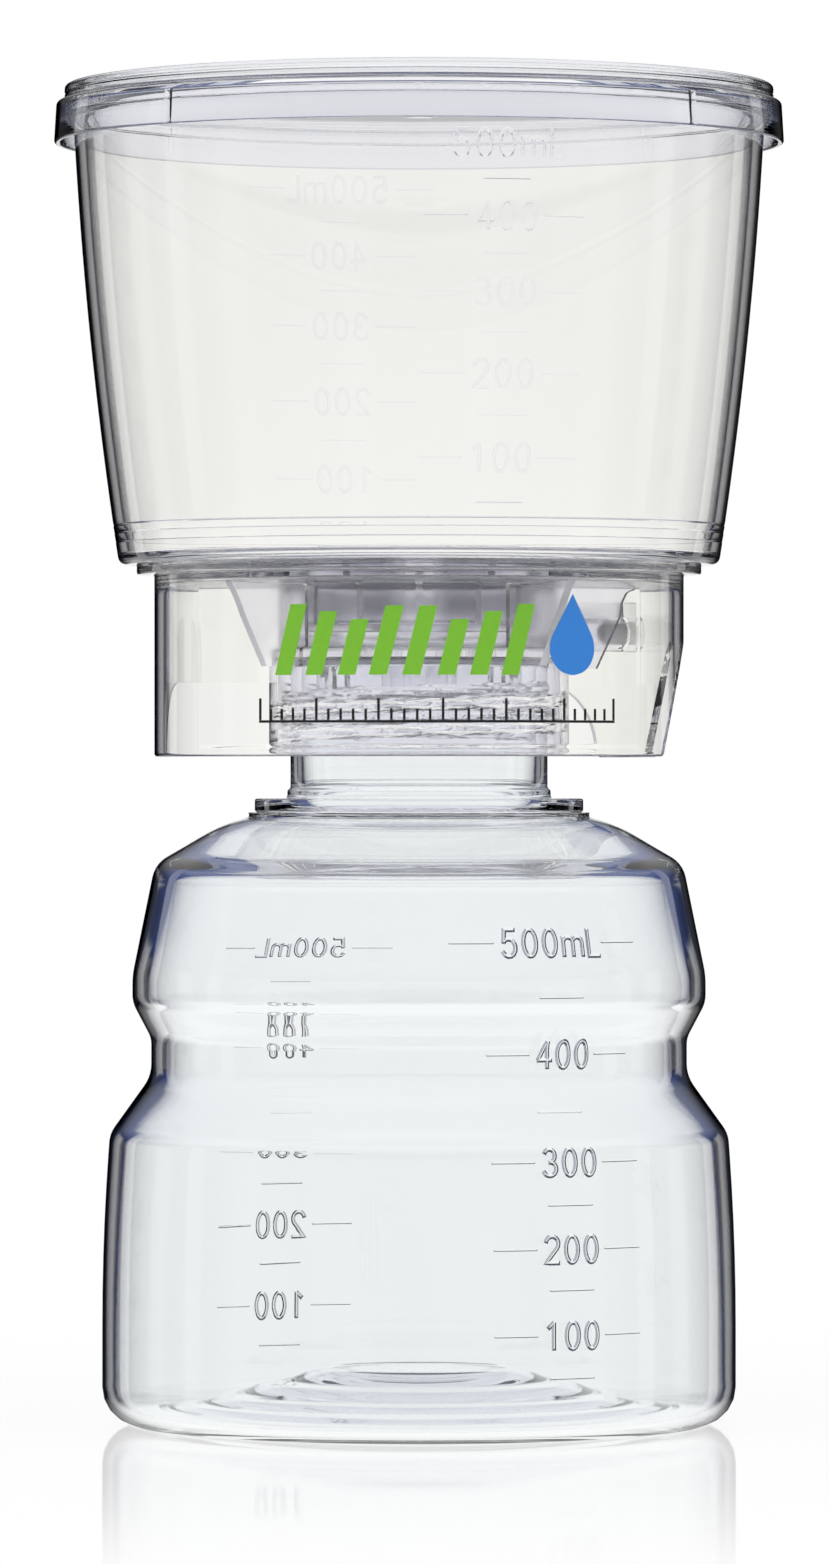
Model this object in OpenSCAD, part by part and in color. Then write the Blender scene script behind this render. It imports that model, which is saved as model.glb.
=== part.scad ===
// Vacuum filtration unit: a filter head screwed onto a storage bottle, under a lid that lifts off.
// Millimetres. +Z is up, the origin is the centre of the standing ring, and the label faces -Y.

/* [Bottle] */
// Outer radius of the body at its widest
body_r = 50.5; // [48:0.5:54]
// Radius lost between the widest ring and the top of the body
body_taper = 1.2; // [0.6:0.1:2]
// Height of the body, up to the fold into the waist
body_h = 46.3; // [40:0.1:54]
// Height of the body's widest ring, as a share of the body's height
widest = 0.64; // [0.5:0.01:0.7]
// Share of the height above the widest ring that the side curves over
barrel = 0.86; // [0.4:0.02:0.86]
// Fillet at the top of the body
body_fold_r = 5; // [3:0.5:6]
// Wall of the bottle
bottle_wall = 1.8; // [1.4:0.1:2.2]
// Fillet around the heel
heel_r = 6; // [4.5:0.5:7.5]
// Width of the flat ring that the bottle stands on
stand_w = 3; // [2:0.5:4]
// Fillet at the inner edge of the standing ring
stand_fold_r = 1.5; // [1:0.1:2]
// Height of the push-up in the base
pushup_h = 7.5; // [5:0.5:10]
// Radius of the push-up's flat top
pushup_r = 14.5; // [10:0.5:20]
// Fillet around the push-up's flat top
pushup_fold_r = 2.5; // [1.5:0.1:3.5]
// Outer radius of the waist
waist_r = 42.7; // [40:0.1:44]
// Height of the straight band of the waist
waist_h = 6; // [5:0.5:9]
// Height of the slope from the body in to the waist
waist_drop = 9.2; // [8:0.2:12]
// Fillet at the lower edge of the waist's band
waist_low_r = 6; // [4:0.5:7]
// Fillet at the upper edge of the waist's band
waist_high_r = 4; // [3:0.5:6]
// Height of the slope from the waist out to the bulge
bulge_rise = 5.7; // [5:0.1:8]
// Outer radius of the bulge above the waist
bulge_r = 45.7; // [44:0.1:47]
// Height of the bulge's widest band
bulge_h = 4.3; // [3:0.1:7]
// Fillet at the lower edge of the bulge's band
bulge_low_r = 5; // [3:0.5:6]
// Fillet at the upper edge of the bulge's band
bulge_high_r = 14; // [8:1:15]
// Outer radius where the shoulder turns in
shoulder_r = 42.1; // [39:0.1:43]
// Height from the bulge up to the shoulder's turn
upper_h = 17.8; // [14:0.1:22]
// Height of the shoulder, from its turn to the carrying bead
shoulder_h = 8.2; // [7.5:0.1:12]
// Fillet where the shoulder turns in
shoulder_fold_r = 5; // [3:0.5:7]
// Height of the shoulder's crown, as a share of the way up from its turn to the neck's foot
crown_up = 0.67; // [0.6:0.01:0.75]
// How far in the shoulder's crown lies, as a share of the way in from its turn to the neck
crown_in = 0.49; // [0.42:0.01:0.55]
// Fillet at the shoulder's crown
crown_fold_r = 25; // [15:1:30]

/* [Neck] */
// Outer radius of the neck, under its thread
neck_r = 20.5; // [19:0.1:22]
// Height of the neck, from the carrying bead's underside to the lip
neck_h = 23.3; // [22:0.1:28]
// Fillet at the foot of the neck
neck_fold_r = 2; // [1.5:0.1:2.5]
// Outer radius of the carrying bead
bead_r = 26.2; // [25:0.1:28]
// Thickness of the carrying bead
bead_t = 2.2; // [1.4:0.1:3]

/* [Thread] */
// Rise of the thread in one turn
thread_pitch = 4; // [3.6:0.1:4.4]
// Height of the thread's ridge
thread_d = 1.6; // [1:0.1:1.8]
// Width of the ridge at its root
thread_root_w = 1.8; // [1.4:0.1:1.9]
// Width of the ridge at its crest
thread_crest_w = 0.7; // [0.4:0.1:0.9]
// Turns of thread on the neck, and in the collar
thread_turns = 2; // [1:0.25:2.25]
// Distance from the lip down to the end of the neck's thread
thread_lead = 3.4; // [3:0.1:5]
// Radial clearance between the two threads
thread_gap = 0.4; // [0.3:0.05:0.5]

/* [Seal] */
// Thickness of the sealing ring on the lip
seal_t = 1.2; // [0.8:0.1:2]
// Distance that the ring stands in from the neck's outer face, and out from its bore
seal_step = 0.1; // [0:0.05:0.3]

/* [Filter base] */
// Wall of the threaded collar
collar_wall = 1.4; // [1.2:0.1:2]
// Depth of the collar, from its ceiling to its open end
collar_h = 15.4; // [14:0.1:18]
// Thickness of the collar's ceiling
ceiling_t = 1.5; // [1.2:0.1:2]
// Height of the vacuum chamber, from the ceiling's underside to the support plate
chamber_h = 12.4; // [11:0.1:16]
// Outer radius of the vacuum chamber
chamber_r = 22.8; // [21.5:0.1:23.5]
// Wall of the vacuum chamber, the sump and the drip ring
chamber_wall = 1.3; // [1:0.1:1.6]
// Thickness of the support plate
plate_t = 3; // [2.6:0.1:4]
// Outer radius of the skirt
skirt_r = 42.2; // [40:0.1:44]
// Wall of the skirt
skirt_wall = 1.6; // [1.2:0.1:2]
// Height of the skirt, down from the ledge that the funnel hangs over
skirt_h = 29; // [27:0.5:32]
// Distance that the plate's edge stands out from the skirt
ledge_w = 2.8; // [2.2:0.1:3]
// Height of the plate's edge above the skirt
ledge_t = 2.1; // [1.5:0.1:2.5]
// Half the width of the grip arch on the right, at the skirt's open edge
arch_w = 17; // [12:0.1:17.5]
// Height of the grip arch
arch_h = 18.6; // [12:0.1:20]
// Height that the skirt is cut away at the back
rear_cut_h = 12.1; // [8:0.1:13]
// Where the high part of the rear cut starts, in degrees from +X
rear_cut_from = 44; // [43:1:50]
// Where the high part of the rear cut ends, in degrees from +X
rear_cut_to = 181; // [170:1:186]
// Middle of the rear window, in degrees from +X
window_az = 110; // [90:1:120]
// Width of the rear window
window_w = 29; // [20:0.5:32]
// Corner radius of the rear window
window_r = 6; // [4:0.5:7]
// Height of the rear window above the rear cut
window_h = 10.6; // [8:0.1:12]
// Height of the label's raised panel
panel_h = 23; // [16:0.5:24]
// Half the span of the raised panel, in degrees
panel_half = 55; // [50:1:60]
// Distance that the panel stands out from the skirt
panel_t = 0.2; // [0.1:0.05:0.4]
// Distance from the skirt's open edge up to the panel
panel_lift = 1.6; // [1:0.1:3]

/* [Drain] */
// Inner radius of the sump under the membrane
sump_r = 17.7; // [16:0.1:18]
// Clear height between the collar's ceiling and the sump's floor
vent_h = 2.2; // [1.6:0.1:3]
// Number of fins that carry the membrane over the sump
fin_count = 12; // [8:1:16]
// Thickness of a fin
fin_t = 1; // [0.8:0.1:1.4]
// Inner radius of the drain spout
spout_r = 4.6; // [3.5:0.1:5.5]
// Wall of the drain spout
spout_wall = 1.4; // [1:0.1:1.8]
// Distance that the spout and the drip ring reach below the ceiling
spout_drop = 5.2; // [4.5:0.1:7]
// Outer radius of the drip ring
drip_r = 16.4; // [15.5:0.1:17]
// Notches in the drip ring
notch_count = 6; // [4:1:8]
// Radius of a notch's round top
notch_r = 2.1; // [1.5:0.1:2.4]
// Height of the ring left over a notch
notch_roof = 1; // [0.6:0.1:1.4]
// Vent holes through the ceiling
vent_count = 4; // [3:1:6]
// Radius of a vent hole
vent_r = 2; // [1.2:0.1:2.4]
// Distance between two support rings on the plate
ring_pitch = 4; // [3:0.5:5]
// Width of a support ring, and of a channel through the rings
ring_w = 1.6; // [1:0.1:2]
// Depth of the channels between the rings
channel_d = 0.9; // [0.5:0.1:1.4]
// Channels that cross the rings
channel_count = 12; // [6:1:16]

/* [Struts] */
// Directions of the struts under the plate, in degrees from +X
strut_az = [21.5, 128.5, 218.5, 308.5];
// Thickness of a strut
strut_t = 1.5; // [1:0.1:2]
// Radius of a strut's outer edge under the plate
strut_top_r = 38; // [34:0.5:39]
// Radius of a strut's outer edge at its lower end
strut_foot_r = 30.8; // [27:0.1:33]
// Distance from the ceiling's underside down to a strut's lower end
strut_drop = 1.5; // [0.5:0.1:3]

/* [Vacuum port] */
// Direction of the port, in degrees from +X
port_az = 36; // [34:1:38]
// Outer radius of the port's nozzle
port_r = 3; // [2.6:0.1:3.2]
// Height of the nozzle's middle above the collar's ceiling
port_lift = 2.9; // [2.5:0.1:3.1]
// Bore of the nozzle, as a radius
port_bore_r = 1.9; // [1.4:0.1:2]
// Distance that the nozzle reaches past the skirt
port_reach = 3.8; // [3:0.1:8]
// Length of the cotton plug
plug_l = 9; // [6:0.5:12]
// Depth of the plug's outer end inside the nozzle
plug_recess = 0.8; // [0.4:0.1:2]

/* [Membrane] */
// Thickness of the membrane
membrane_t = 0.3; // [0.2:0.05:0.6]
// Width of the membrane's rim that the funnel clamps
clamp_w = 1.2; // [0.8:0.1:1.6]
// Radial clearance between the membrane and the funnel's foot
membrane_gap = 0.4; // [0.2:0.1:0.6]

/* [Funnel] */
// Wall of the funnel
funnel_wall = 1.6; // [1.3:0.1:2]
// Wall of the funnel's foot, around the plate's edge
foot_wall = 2.7; // [2.2:0.1:3.4]
// Radial clearance between the plate's edge and the foot
plate_gap = 0.1; // [0.05:0.05:0.3]
// Distance that the foot hangs below the plate's top
foot_drop = 0.6; // [0.3:0.1:1.5]
// Outer radius under the funnel's rim
mouth_r = 55.1; // [53:0.1:57]
// Height of the funnel
funnel_h = 72.7; // [60:0.1:90]
// Distance that the wall bows out from a straight line
funnel_bow = 0.9; // [0.2:0.1:1.5]
// Fillet around the funnel's foot
foot_fillet = 1.5; // [0.8:0.1:2]
// Thickness of the step that clamps the membrane
step_t = 1; // [0.8:0.1:1.6]
// Distance that the rim's flange stands out from the wall
flange_w = 1.3; // [0.8:0.1:1.6]
// Thickness of the flange
flange_t = 1.4; // [1:0.1:2]
// Heights of the fine grooves above the funnel's foot
groove_z = [3.6, 5.1, 6.3];
// Width of a fine groove
groove_w = 0.5; // [0.3:0.1:0.8]
// Depth of a fine groove
groove_d = 0.25; // [0.1:0.05:0.4]

/* [Lid] */
// Wall of the lid's skirt
lid_wall = 1; // [0.9:0.1:1.6]
// Radial clearance between the lid's skirt and the funnel's flange
lid_gap = 0.4; // [0.35:0.05:0.8]
// Distance that the lid's skirt reaches below the funnel's rim
lid_drop = 5.5; // [4:0.1:8]
// Distance that the skirt widens on its way down
lid_flare = 0.4; // [0:0.1:0.8]
// Fillets of the lid's edges
lid_fillet = 0.5; // [0.3:0.1:0.6]
// Rise of the lid's shoulder, from its edge in to the stacking rim
shoulder_rise = 0.2; // [0:0.1:0.4]
// Thickness of the lid's panel
panel_wall = 1.5; // [1.2:0.1:2]
// Distance that the panel drops into the funnel's mouth
panel_drop = 0.4; // [0.2:0.1:0.8]
// Radial clearance between that drop and the funnel's bore
panel_gap = 0.8; // [0.5:0.1:1.5]
// Height of the stacking rim over the lid's shoulder
stack_h = 2.7; // [1.6:0.1:4]
// Width of the stacking rim
stack_w = 3; // [2:0.1:4]
// Distance from the lid's edge in to the stacking rim
stack_step = 1.3; // [1:0.1:2]
// Depth of the groove around the stacking rim
stack_groove = 0.3; // [0.1:0.05:0.6]
// Radius of the moulding gate's mark under the panel
gate_r = 2.5; // [1.5:0.1:3.5]
// Height of the gate's mark
gate_h = 0.7; // [0.3:0.1:1]
// Centring ribs inside the lid's skirt
lid_rib_count = 4; // [3:1:8]
// Direction of the first centring rib, in degrees from +X
lid_rib_az = 47.5; // [30:0.5:60]
// Radius of a centring rib's round edge
lid_rib_r = 0.8; // [0.5:0.1:1]
// Distance that a centring rib stands in from the skirt
lid_rib_d = 0.3; // [0.1:0.05:0.3]
// Height of a rib's lower end above the skirt's edge
lid_rib_lift = 0.8; // [0:0.1:1.5]

/* [Label] */
// Thickness of the printed ink
ink_t = 0.15; // [0.1:0.05:0.3]
// Number of green strokes
stroke_count = 8; // [5:1:10]
// Width of a stroke
stroke_w = 2.8; // [2:0.1:3.4]
// Height of the tallest stroke
stroke_h = 11; // [8:0.5:12]
// Height of the lowest stroke, as a share of the tallest
stroke_low = 0.72; // [0.5:0.02:1]
// Lean of the strokes, in degrees
stroke_lean = 14; // [0:1:20]
// Distance between two strokes
stroke_pitch = 5.2; // [4.5:0.1:5.5]
// Height of the strokes' feet above the panel's lower edge
stroke_lift = 11; // [8:0.5:12]
// Width of the blue drop
drop_w = 8.4; // [6:0.1:9]
// Angle of the drop's point
drop_angle = 60; // [50:5:80]
// Gap between the strokes and the drop
drop_gap = 4; // [3:0.5:6]
// Distance between two ticks of the black rule
tick_pitch = 2; // [1.5:0.1:3]
// Length of a long tick
tick_l = 3.6; // [2:0.1:4]
// Length of a short tick, as a share of a long one
tick_short = 0.55; // [0.3:0.05:0.9]
// Width of a tick, and of the rule
tick_w = 0.4; // [0.3:0.05:0.6]
// Number of ticks
tick_count = 31; // [21:1:33]
// Height of the rule above the panel's lower edge
rule_lift = 3.8; // [3:0.1:6]
// Direction of the label's middle, in degrees from +X
label_az = 275; // [265:1:280]

/* [Hidden] */
$fn = 96;
// Overlap of two shapes that are joined into one solid
bite = 0.3;
// Distance that a cutting shape reaches past what it cuts
past = 1;

// Heights, from the floor up
body_top_r = body_r - body_taper;
waist_z0 = body_h + waist_drop;
waist_z1 = waist_z0 + waist_h;
bulge_z0 = waist_z1 + bulge_rise;
bulge_z1 = bulge_z0 + bulge_h;
shoulder_z = bulge_z1 + upper_h;
bead_z = shoulder_z + shoulder_h;
lip_z = bead_z + neck_h;
ceiling_z = lip_z + seal_t;
plate_z = ceiling_z + chamber_h;
plate_top = plate_z + plate_t;
skirt_top = plate_top - ledge_t;
skirt_z = skirt_top - skirt_h;
panel_z = skirt_z + panel_lift;
clamp_z = plate_top + membrane_t;
plate_r = skirt_r + ledge_w;
foot_z = plate_top - foot_drop;
rim_z = foot_z + funnel_h;
port_z = ceiling_z + ceiling_t + port_lift;
tip_z = ceiling_z - spout_drop;
// Middle of the lower end of the neck's thread
thread_z = lip_z - thread_lead - thread_turns * thread_pitch;

// Radii that follow from the fits
neck_bore = neck_r - bottle_wall;
collar_bore = neck_r + thread_d + thread_gap;
collar_r = collar_bore + collar_wall;
foot_bore = plate_r + plate_gap;
foot_r = foot_bore + foot_wall;
membrane_r = foot_bore - membrane_gap;
flange_r = mouth_r + flange_w;
lid_bore = flange_r + lid_gap;
lid_r = lid_bore + lid_wall;

// Steps that an arc or a curve is drawn in
arc_steps = 7;
bow_steps = 16;

function unit(v) = v / norm(v);
function left(d) = [-d.y, d.x];
function reverse(list) = [for (i = [len(list) - 1:-1:0]) list[i]];

// The arc that rounds corner b of the path a, b, c with radius r
function corner(a, b, c, r) = let (
    u = unit(a - b), v = unit(c - b),
    half = acos(u * v) / 2,
    centre = b + unit(u + v) * r / sin(half),
    from = b + u * r / tan(half) - centre,
    start = atan2(from.y, from.x),
    sweep = (180 - 2 * half) * sign(u.y * v.x - u.x * v.y)
) [for (k = [0:arc_steps]) let (a = start + sweep * k / arc_steps) centre + r * [cos(a), sin(a)]];

// A path of [r, z] or [r, z, corner radius], with each corner that has a radius rounded
function rounded(path) = let (flat = [for (p = path) [p.x, p.y]]) [
    for (i = [0:len(path) - 1])
        each (len(path[i]) == 3 ? corner(flat[i - 1], flat[i], flat[i + 1], path[i].z) : [flat[i]])
];

// A path moved to its left by t, square to each stretch
function inset(path, t) = [for (i = [0:len(path) - 1]) let (
    a = unit(path[max(i, 1)] - path[max(i, 1) - 1]),
    b = unit(path[min(i + 1, len(path) - 1)] - path[min(i, len(path) - 2)]),
    n = left(a) + left(b)
) path[i] + n * (2 * t / (n * n))];

// A stretch from a to b that bows out sideways by sag in its middle
function bowed(a, b, sag) = [for (k = [0:bow_steps]) let (t = k / bow_steps)
    a + (b - a) * t - left(unit(b - a)) * 4 * sag * t * (1 - t)];

// A tube about the Z axis
module tube(r_out, r_in, z0, z1) {
    difference() {
        translate([0, 0, z0]) cylinder(r = r_out, h = z1 - z0);
        translate([0, 0, z0 - past]) cylinder(r = r_in, h = z1 - z0 + 2 * past);
    }
}

// A ring's sector: from r_in to r_out, z0 to z1, az0 to az1 degrees
module sector(r_in, r_out, z0, z1, az0, az1) {
    rotate([0, 0, az0]) rotate_extrude(angle = az1 - az0)
        translate([r_in, z0]) square([r_out - r_in, z1 - z0]);
}

// A round rod that points outward from the axis
module spoke_rod(r, az, z, from, to) {
    rotate([0, 0, az]) translate([from, 0, z]) rotate([0, 90, 0]) cylinder(r = r, h = to - from);
}

// A helical ridge on a round wall: side is 1 on an outer wall and -1 in a bore
module thread_ridge(wall_r, z0, side) {
    steps = ceil(thread_turns * 40);
    runout = 5;
    sunk = wall_r - side * bite;
    points = [for (k = [0:steps]) let (
        az = 360 * thread_turns * k / steps,
        z = z0 + thread_pitch * az / 360,
        rise = max(0.04, min(1, k / runout, (steps - k) / runout)),
        crest = wall_r + side * thread_d * rise
    ) each [
        [sunk * cos(az), sunk * sin(az), z - thread_root_w / 2],
        [crest * cos(az), crest * sin(az), z - thread_crest_w / 2],
        [crest * cos(az), crest * sin(az), z + thread_crest_w / 2],
        [sunk * cos(az), sunk * sin(az), z + thread_root_w / 2]
    ]];
    sides = [for (k = [0:steps - 1], c = [0:3]) let (
        a = 4 * k + c, b = 4 * k + (c + 1) % 4
    ) each [[a, b, b + 4], [a, b + 4, a + 4]]];
    last = 4 * steps;
    ends = [[0, 3, 2], [0, 2, 1], [last, last + 1, last + 2], [last, last + 2, last + 3]];
    faces = concat(sides, ends);
    polyhedron(points, side == 1 ? faces : [for (f = faces) reverse(f)], convexity = 6);
}

// The bottle: a blown body with a waist and a push-up, a carrying bead and a threaded neck
module bottle() {
    // Radius that curves the side over its share of the height above the widest ring
    barrel_h = body_h * (1 - widest);
    barrel_r = 2 * barrel * barrel_h * barrel_h / body_taper;
    neck_z = bead_z + bead_t / 2;
    outside = rounded([
        [0, pushup_h],
        [pushup_r, pushup_h, pushup_fold_r],
        [body_r - heel_r - stand_w, 0, stand_fold_r],
        [body_r, 0, heel_r],
        [body_r, body_h - barrel_h, barrel_r],
        [body_top_r, body_h, body_fold_r],
        [waist_r, waist_z0, waist_low_r],
        [waist_r, waist_z1, waist_high_r],
        [bulge_r, bulge_z0, bulge_low_r],
        [bulge_r, bulge_z1, bulge_high_r],
        [shoulder_r, shoulder_z, shoulder_fold_r],
        [shoulder_r - crown_in * (shoulder_r - neck_r), shoulder_z + crown_up * (neck_z - shoulder_z),
         crown_fold_r],
        [neck_r, neck_z, neck_fold_r],
        [neck_r, lip_z]
    ]);
    color([0.80, 0.87, 0.92, 0.55]) union() {
        rotate_extrude() polygon(concat(outside, reverse(inset(outside, bottle_wall))));
        tube(bead_r, neck_r - bite, bead_z, bead_z + bead_t);
        thread_ridge(neck_r, thread_z, 1);
    }
}

// The elastomer ring between the bottle's lip and the collar's ceiling
module neck_seal() {
    color([0.93, 0.93, 0.90]) tube(neck_r - seal_step, neck_bore + seal_step, lip_z, ceiling_z);
}

// A flat outline of [sideways, z] cut outward through the skirt in the direction az
module radial_cut(az, outline) {
    rotate([90, 0, az + 90]) translate([0, 0, skirt_r / 2])
        linear_extrude(skirt_r / 2 + 4 * past) polygon(outline);
}

// What is cut out of the skirt: the grip arch, the low rear edge and the rear window
module skirt_cuts() {
    arch_steps = 12;
    // The arch is a parabola, drawn this much past its foot at both ends
    flare = 1.04;
    radial_cut(0, [for (k = [-arch_steps:arch_steps]) let (t = flare * k / arch_steps)
        [arch_w * t, skirt_z + arch_h * (1 - t * t)]]);
    cut_z = skirt_z + rear_cut_h;
    // The rounded ends of the rear cut lap over its middle by this many degrees
    lap = 1;
    sector(skirt_r - skirt_wall - 2 * past, skirt_r + 4 * past, skirt_z - past, cut_z,
           rear_cut_from + lap, rear_cut_to - lap);
    for (side = [-1, 1]) radial_cut(side < 0 ? rear_cut_from : rear_cut_to, concat(
        [[-side * 2 * past, skirt_z - past], [-side * 2 * past, cut_z]],
        [for (k = [0:arc_steps - 1]) let (a = 90 * k / arc_steps)
            [side * rear_cut_h * sin(a), skirt_z + rear_cut_h * cos(a)]],
        [[side * rear_cut_h, skirt_z - past]]
    ));
    radial_cut(window_az, rounded([
        [-window_w / 2, cut_z - past], [-window_w / 2, cut_z + window_h, window_r],
        [window_w / 2, cut_z + window_h, window_r], [window_w / 2, cut_z - past]
    ]));
}

// The skirt with its raised label panel
module skirt() {
    difference() {
        union() {
            tube(skirt_r, skirt_r - skirt_wall, skirt_z, skirt_top + bite);
            sector(skirt_r - bite, skirt_r + panel_t, panel_z, panel_z + panel_h,
                   270 - panel_half, 270 + panel_half);
        }
        skirt_cuts();
    }
}

// The plate under the membrane: rings with channels between and across them, open over the sump
module support_plate() {
    channel_z = plate_top - channel_d;
    ring_count = floor((skirt_r - sump_r - 2 * ring_w) / ring_pitch);
    difference() {
        union() {
            tube(skirt_r, sump_r, plate_z, plate_top);
            tube(plate_r, skirt_r - bite, skirt_top, plate_top);
        }
        for (k = [0:ring_count - 1]) let (r = sump_r + ring_w + k * ring_pitch)
            tube(r + ring_pitch - ring_w, r, channel_z, plate_top + past);
        for (k = [0:channel_count - 1]) rotate([0, 0, (k + 0.5) * 360 / channel_count])
            translate([sump_r - past, -ring_w / 2, channel_z])
                cube([ring_w + ring_count * ring_pitch, ring_w, channel_d + past]);
    }
}

// The sump, its fins and the spout that drips into the bottle
module drain() {
    floor_z = ceiling_z + ceiling_t + vent_h;
    floor_top = floor_z + chamber_wall;
    tube(sump_r + chamber_wall, sump_r, floor_z, plate_z + bite);
    tube(sump_r + bite, spout_r, floor_z, floor_top);
    tube(spout_r + spout_wall, spout_r, tip_z, floor_top);
    for (k = [0:fin_count - 1]) rotate([0, 0, k * 360 / fin_count])
        translate([spout_r + fin_t, -fin_t / 2, floor_top - bite])
            cube([sump_r + bite - spout_r - fin_t, fin_t, plate_top - floor_top + bite]);
}

// The ring that keeps drops away from the vents, notched from below
module drip_ring() {
    arc_z = ceiling_z - notch_roof - notch_r;
    inner = drip_r - chamber_wall - 2 * past;
    difference() {
        tube(drip_r, drip_r - chamber_wall, tip_z, ceiling_z + bite);
        for (k = [0:notch_count - 1]) {
            az = (k + 0.5) * 360 / notch_count;
            spoke_rod(notch_r, az, arc_z, inner, drip_r + past);
            rotate([0, 0, az]) translate([inner, -notch_r, tip_z - past])
                cube([drip_r + past - inner, 2 * notch_r, arc_z - tip_z + past]);
        }
    }
}

// The filter base: skirt, support plate, vacuum chamber, threaded collar and vacuum port in one moulding
module filter_base() {
    vent_mid = (spout_r + spout_wall + drip_r - chamber_wall) / 2;
    color([0.80, 0.79, 0.86, 0.55]) difference() {
        union() {
            skirt();
            support_plate();
            drain();
            drip_ring();
            difference() {
                tube(collar_r, spout_r + spout_wall - bite, ceiling_z, ceiling_z + ceiling_t);
                for (k = [0:vent_count - 1]) rotate([0, 0, (k + 0.5) * 360 / vent_count])
                    translate([vent_mid, 0, ceiling_z - past]) cylinder(r = vent_r, h = ceiling_t + 2 * past);
            }
            tube(collar_r, collar_bore, ceiling_z - collar_h, ceiling_z + bite);
            tube(chamber_r, chamber_r - chamber_wall, ceiling_z + ceiling_t - bite, plate_z + bite);
            for (az = strut_az) rotate([90, 0, az]) translate([0, 0, -strut_t / 2]) linear_extrude(strut_t)
                polygon([
                    [chamber_r - bite, ceiling_z], [collar_r - bite, ceiling_z - strut_drop],
                    [strut_foot_r, ceiling_z - strut_drop], [strut_top_r, plate_z + bite],
                    [chamber_r - bite, plate_z + bite]
                ]);
            spoke_rod(port_r, port_az, port_z, chamber_r - chamber_wall + bite, skirt_r + port_reach);
            rotate([0, 0, 180]) thread_ridge(collar_bore, thread_z, -1);
        }
        spoke_rod(port_bore_r, port_az, port_z, chamber_r - chamber_wall - past, skirt_r + port_reach + past);
    }
}

// The membrane that filters, clamped by its rim between the plate and the funnel
module membrane() {
    color([0.97, 0.97, 0.95]) translate([0, 0, plate_top]) cylinder(r = membrane_r, h = membrane_t);
}

// The cotton plug that keeps the vacuum line clean
module port_plug() {
    tip = skirt_r + port_reach - plug_recess;
    color([0.95, 0.95, 0.93]) spoke_rod(port_bore_r, port_az, port_z, tip - plug_l, tip);
}

// The funnel: a bowed cup without a floor, stepped at its foot and flanged at its rim
module funnel() {
    top = rim_z - flange_t;
    wall = bowed([foot_r, foot_z], [mouth_r, top], funnel_bow);
    outside = concat(
        rounded([[foot_bore, foot_z], [foot_r, foot_z, foot_fillet], wall[1]]),
        [for (k = [2:bow_steps]) wall[k]],
        [[flange_r, top], [flange_r, rim_z]]
    );
    bore = inset(wall, funnel_wall);
    step_z = clamp_z + step_t;
    floor_r = membrane_r - clamp_w;
    inside = concat(
        [[mouth_r - funnel_wall, rim_z]],
        [for (k = [bow_steps:-1:1]) bore[k]],
        [[foot_r - funnel_wall, step_z], [floor_r, step_z], [floor_r, clamp_z], [foot_bore, clamp_z]]
    );
    color([0.90, 0.91, 0.88, 0.5]) difference() {
        rotate_extrude() polygon(concat(outside, inside));
        for (z = groove_z) let (
            t = z / (top - foot_z),
            r = foot_r + (mouth_r - foot_r) * t + 4 * funnel_bow * t * (1 - t),
            spread = groove_w / 2 * (groove_d + past) / groove_d
        ) rotate_extrude() polygon([
            [r - groove_d, foot_z + z], [r + past, foot_z + z - spread], [r + past, foot_z + z + spread]
        ]);
    }
}

// The lid: a panel with a stacking rim above it and a skirt around the funnel's rim
module lid() {
    panel_r = mouth_r - funnel_wall - panel_gap;
    panel_z0 = rim_z - panel_drop;
    shoulder = rim_z + lid_wall;
    stack_r = lid_r - stack_step;
    stack_z = shoulder + stack_h;
    groove = shoulder + stack_h / 2;
    section = rounded([
        [0, panel_z0], [panel_r, panel_z0], [panel_r, rim_z], [lid_bore, rim_z],
        [lid_bore + lid_flare, rim_z - lid_drop], [lid_r + lid_flare, rim_z - lid_drop],
        [lid_r, shoulder, lid_fillet],
        [stack_r, shoulder + shoulder_rise], [stack_r, groove - stack_groove],
        [stack_r - stack_groove, groove],
        [stack_r, groove + stack_groove], [stack_r, stack_z, lid_fillet],
        [stack_r - stack_w, stack_z, lid_fillet],
        [stack_r - stack_w, panel_z0 + panel_wall, lid_fillet],
        [0, panel_z0 + panel_wall]
    ]);
    color([0.88, 0.90, 0.92, 0.5]) union() {
        rotate_extrude() polygon(section);
        translate([0, 0, panel_z0 - gate_h]) cylinder(r = gate_r, h = gate_h + bite);
        for (k = [0:lid_rib_count - 1]) rotate([0, 0, lid_rib_az + k * 360 / lid_rib_count])
            translate([lid_bore - lid_rib_d + lid_rib_r, 0, rim_z - lid_drop + lid_rib_lift])
                cylinder(r = lid_rib_r, h = lid_drop - lid_rib_lift + bite);
    }
}

// Ink on the panel in the outline of the child, drawn at label_az + az and printed square to the skirt
module ink(az) {
    r = skirt_r + panel_t;
    intersection() {
        tube(r + ink_t, r, panel_z, panel_z + panel_h);
        rotate([90, 0, label_az + az + 90]) linear_extrude(r + past) children();
    }
}

ink_r = skirt_r + panel_t;
function arc_deg(length) = length / ink_r * 180 / PI;
stroke_z = panel_z + stroke_lift;
label_w = (stroke_count - 1) * stroke_pitch + stroke_w + drop_gap + drop_w;

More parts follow.
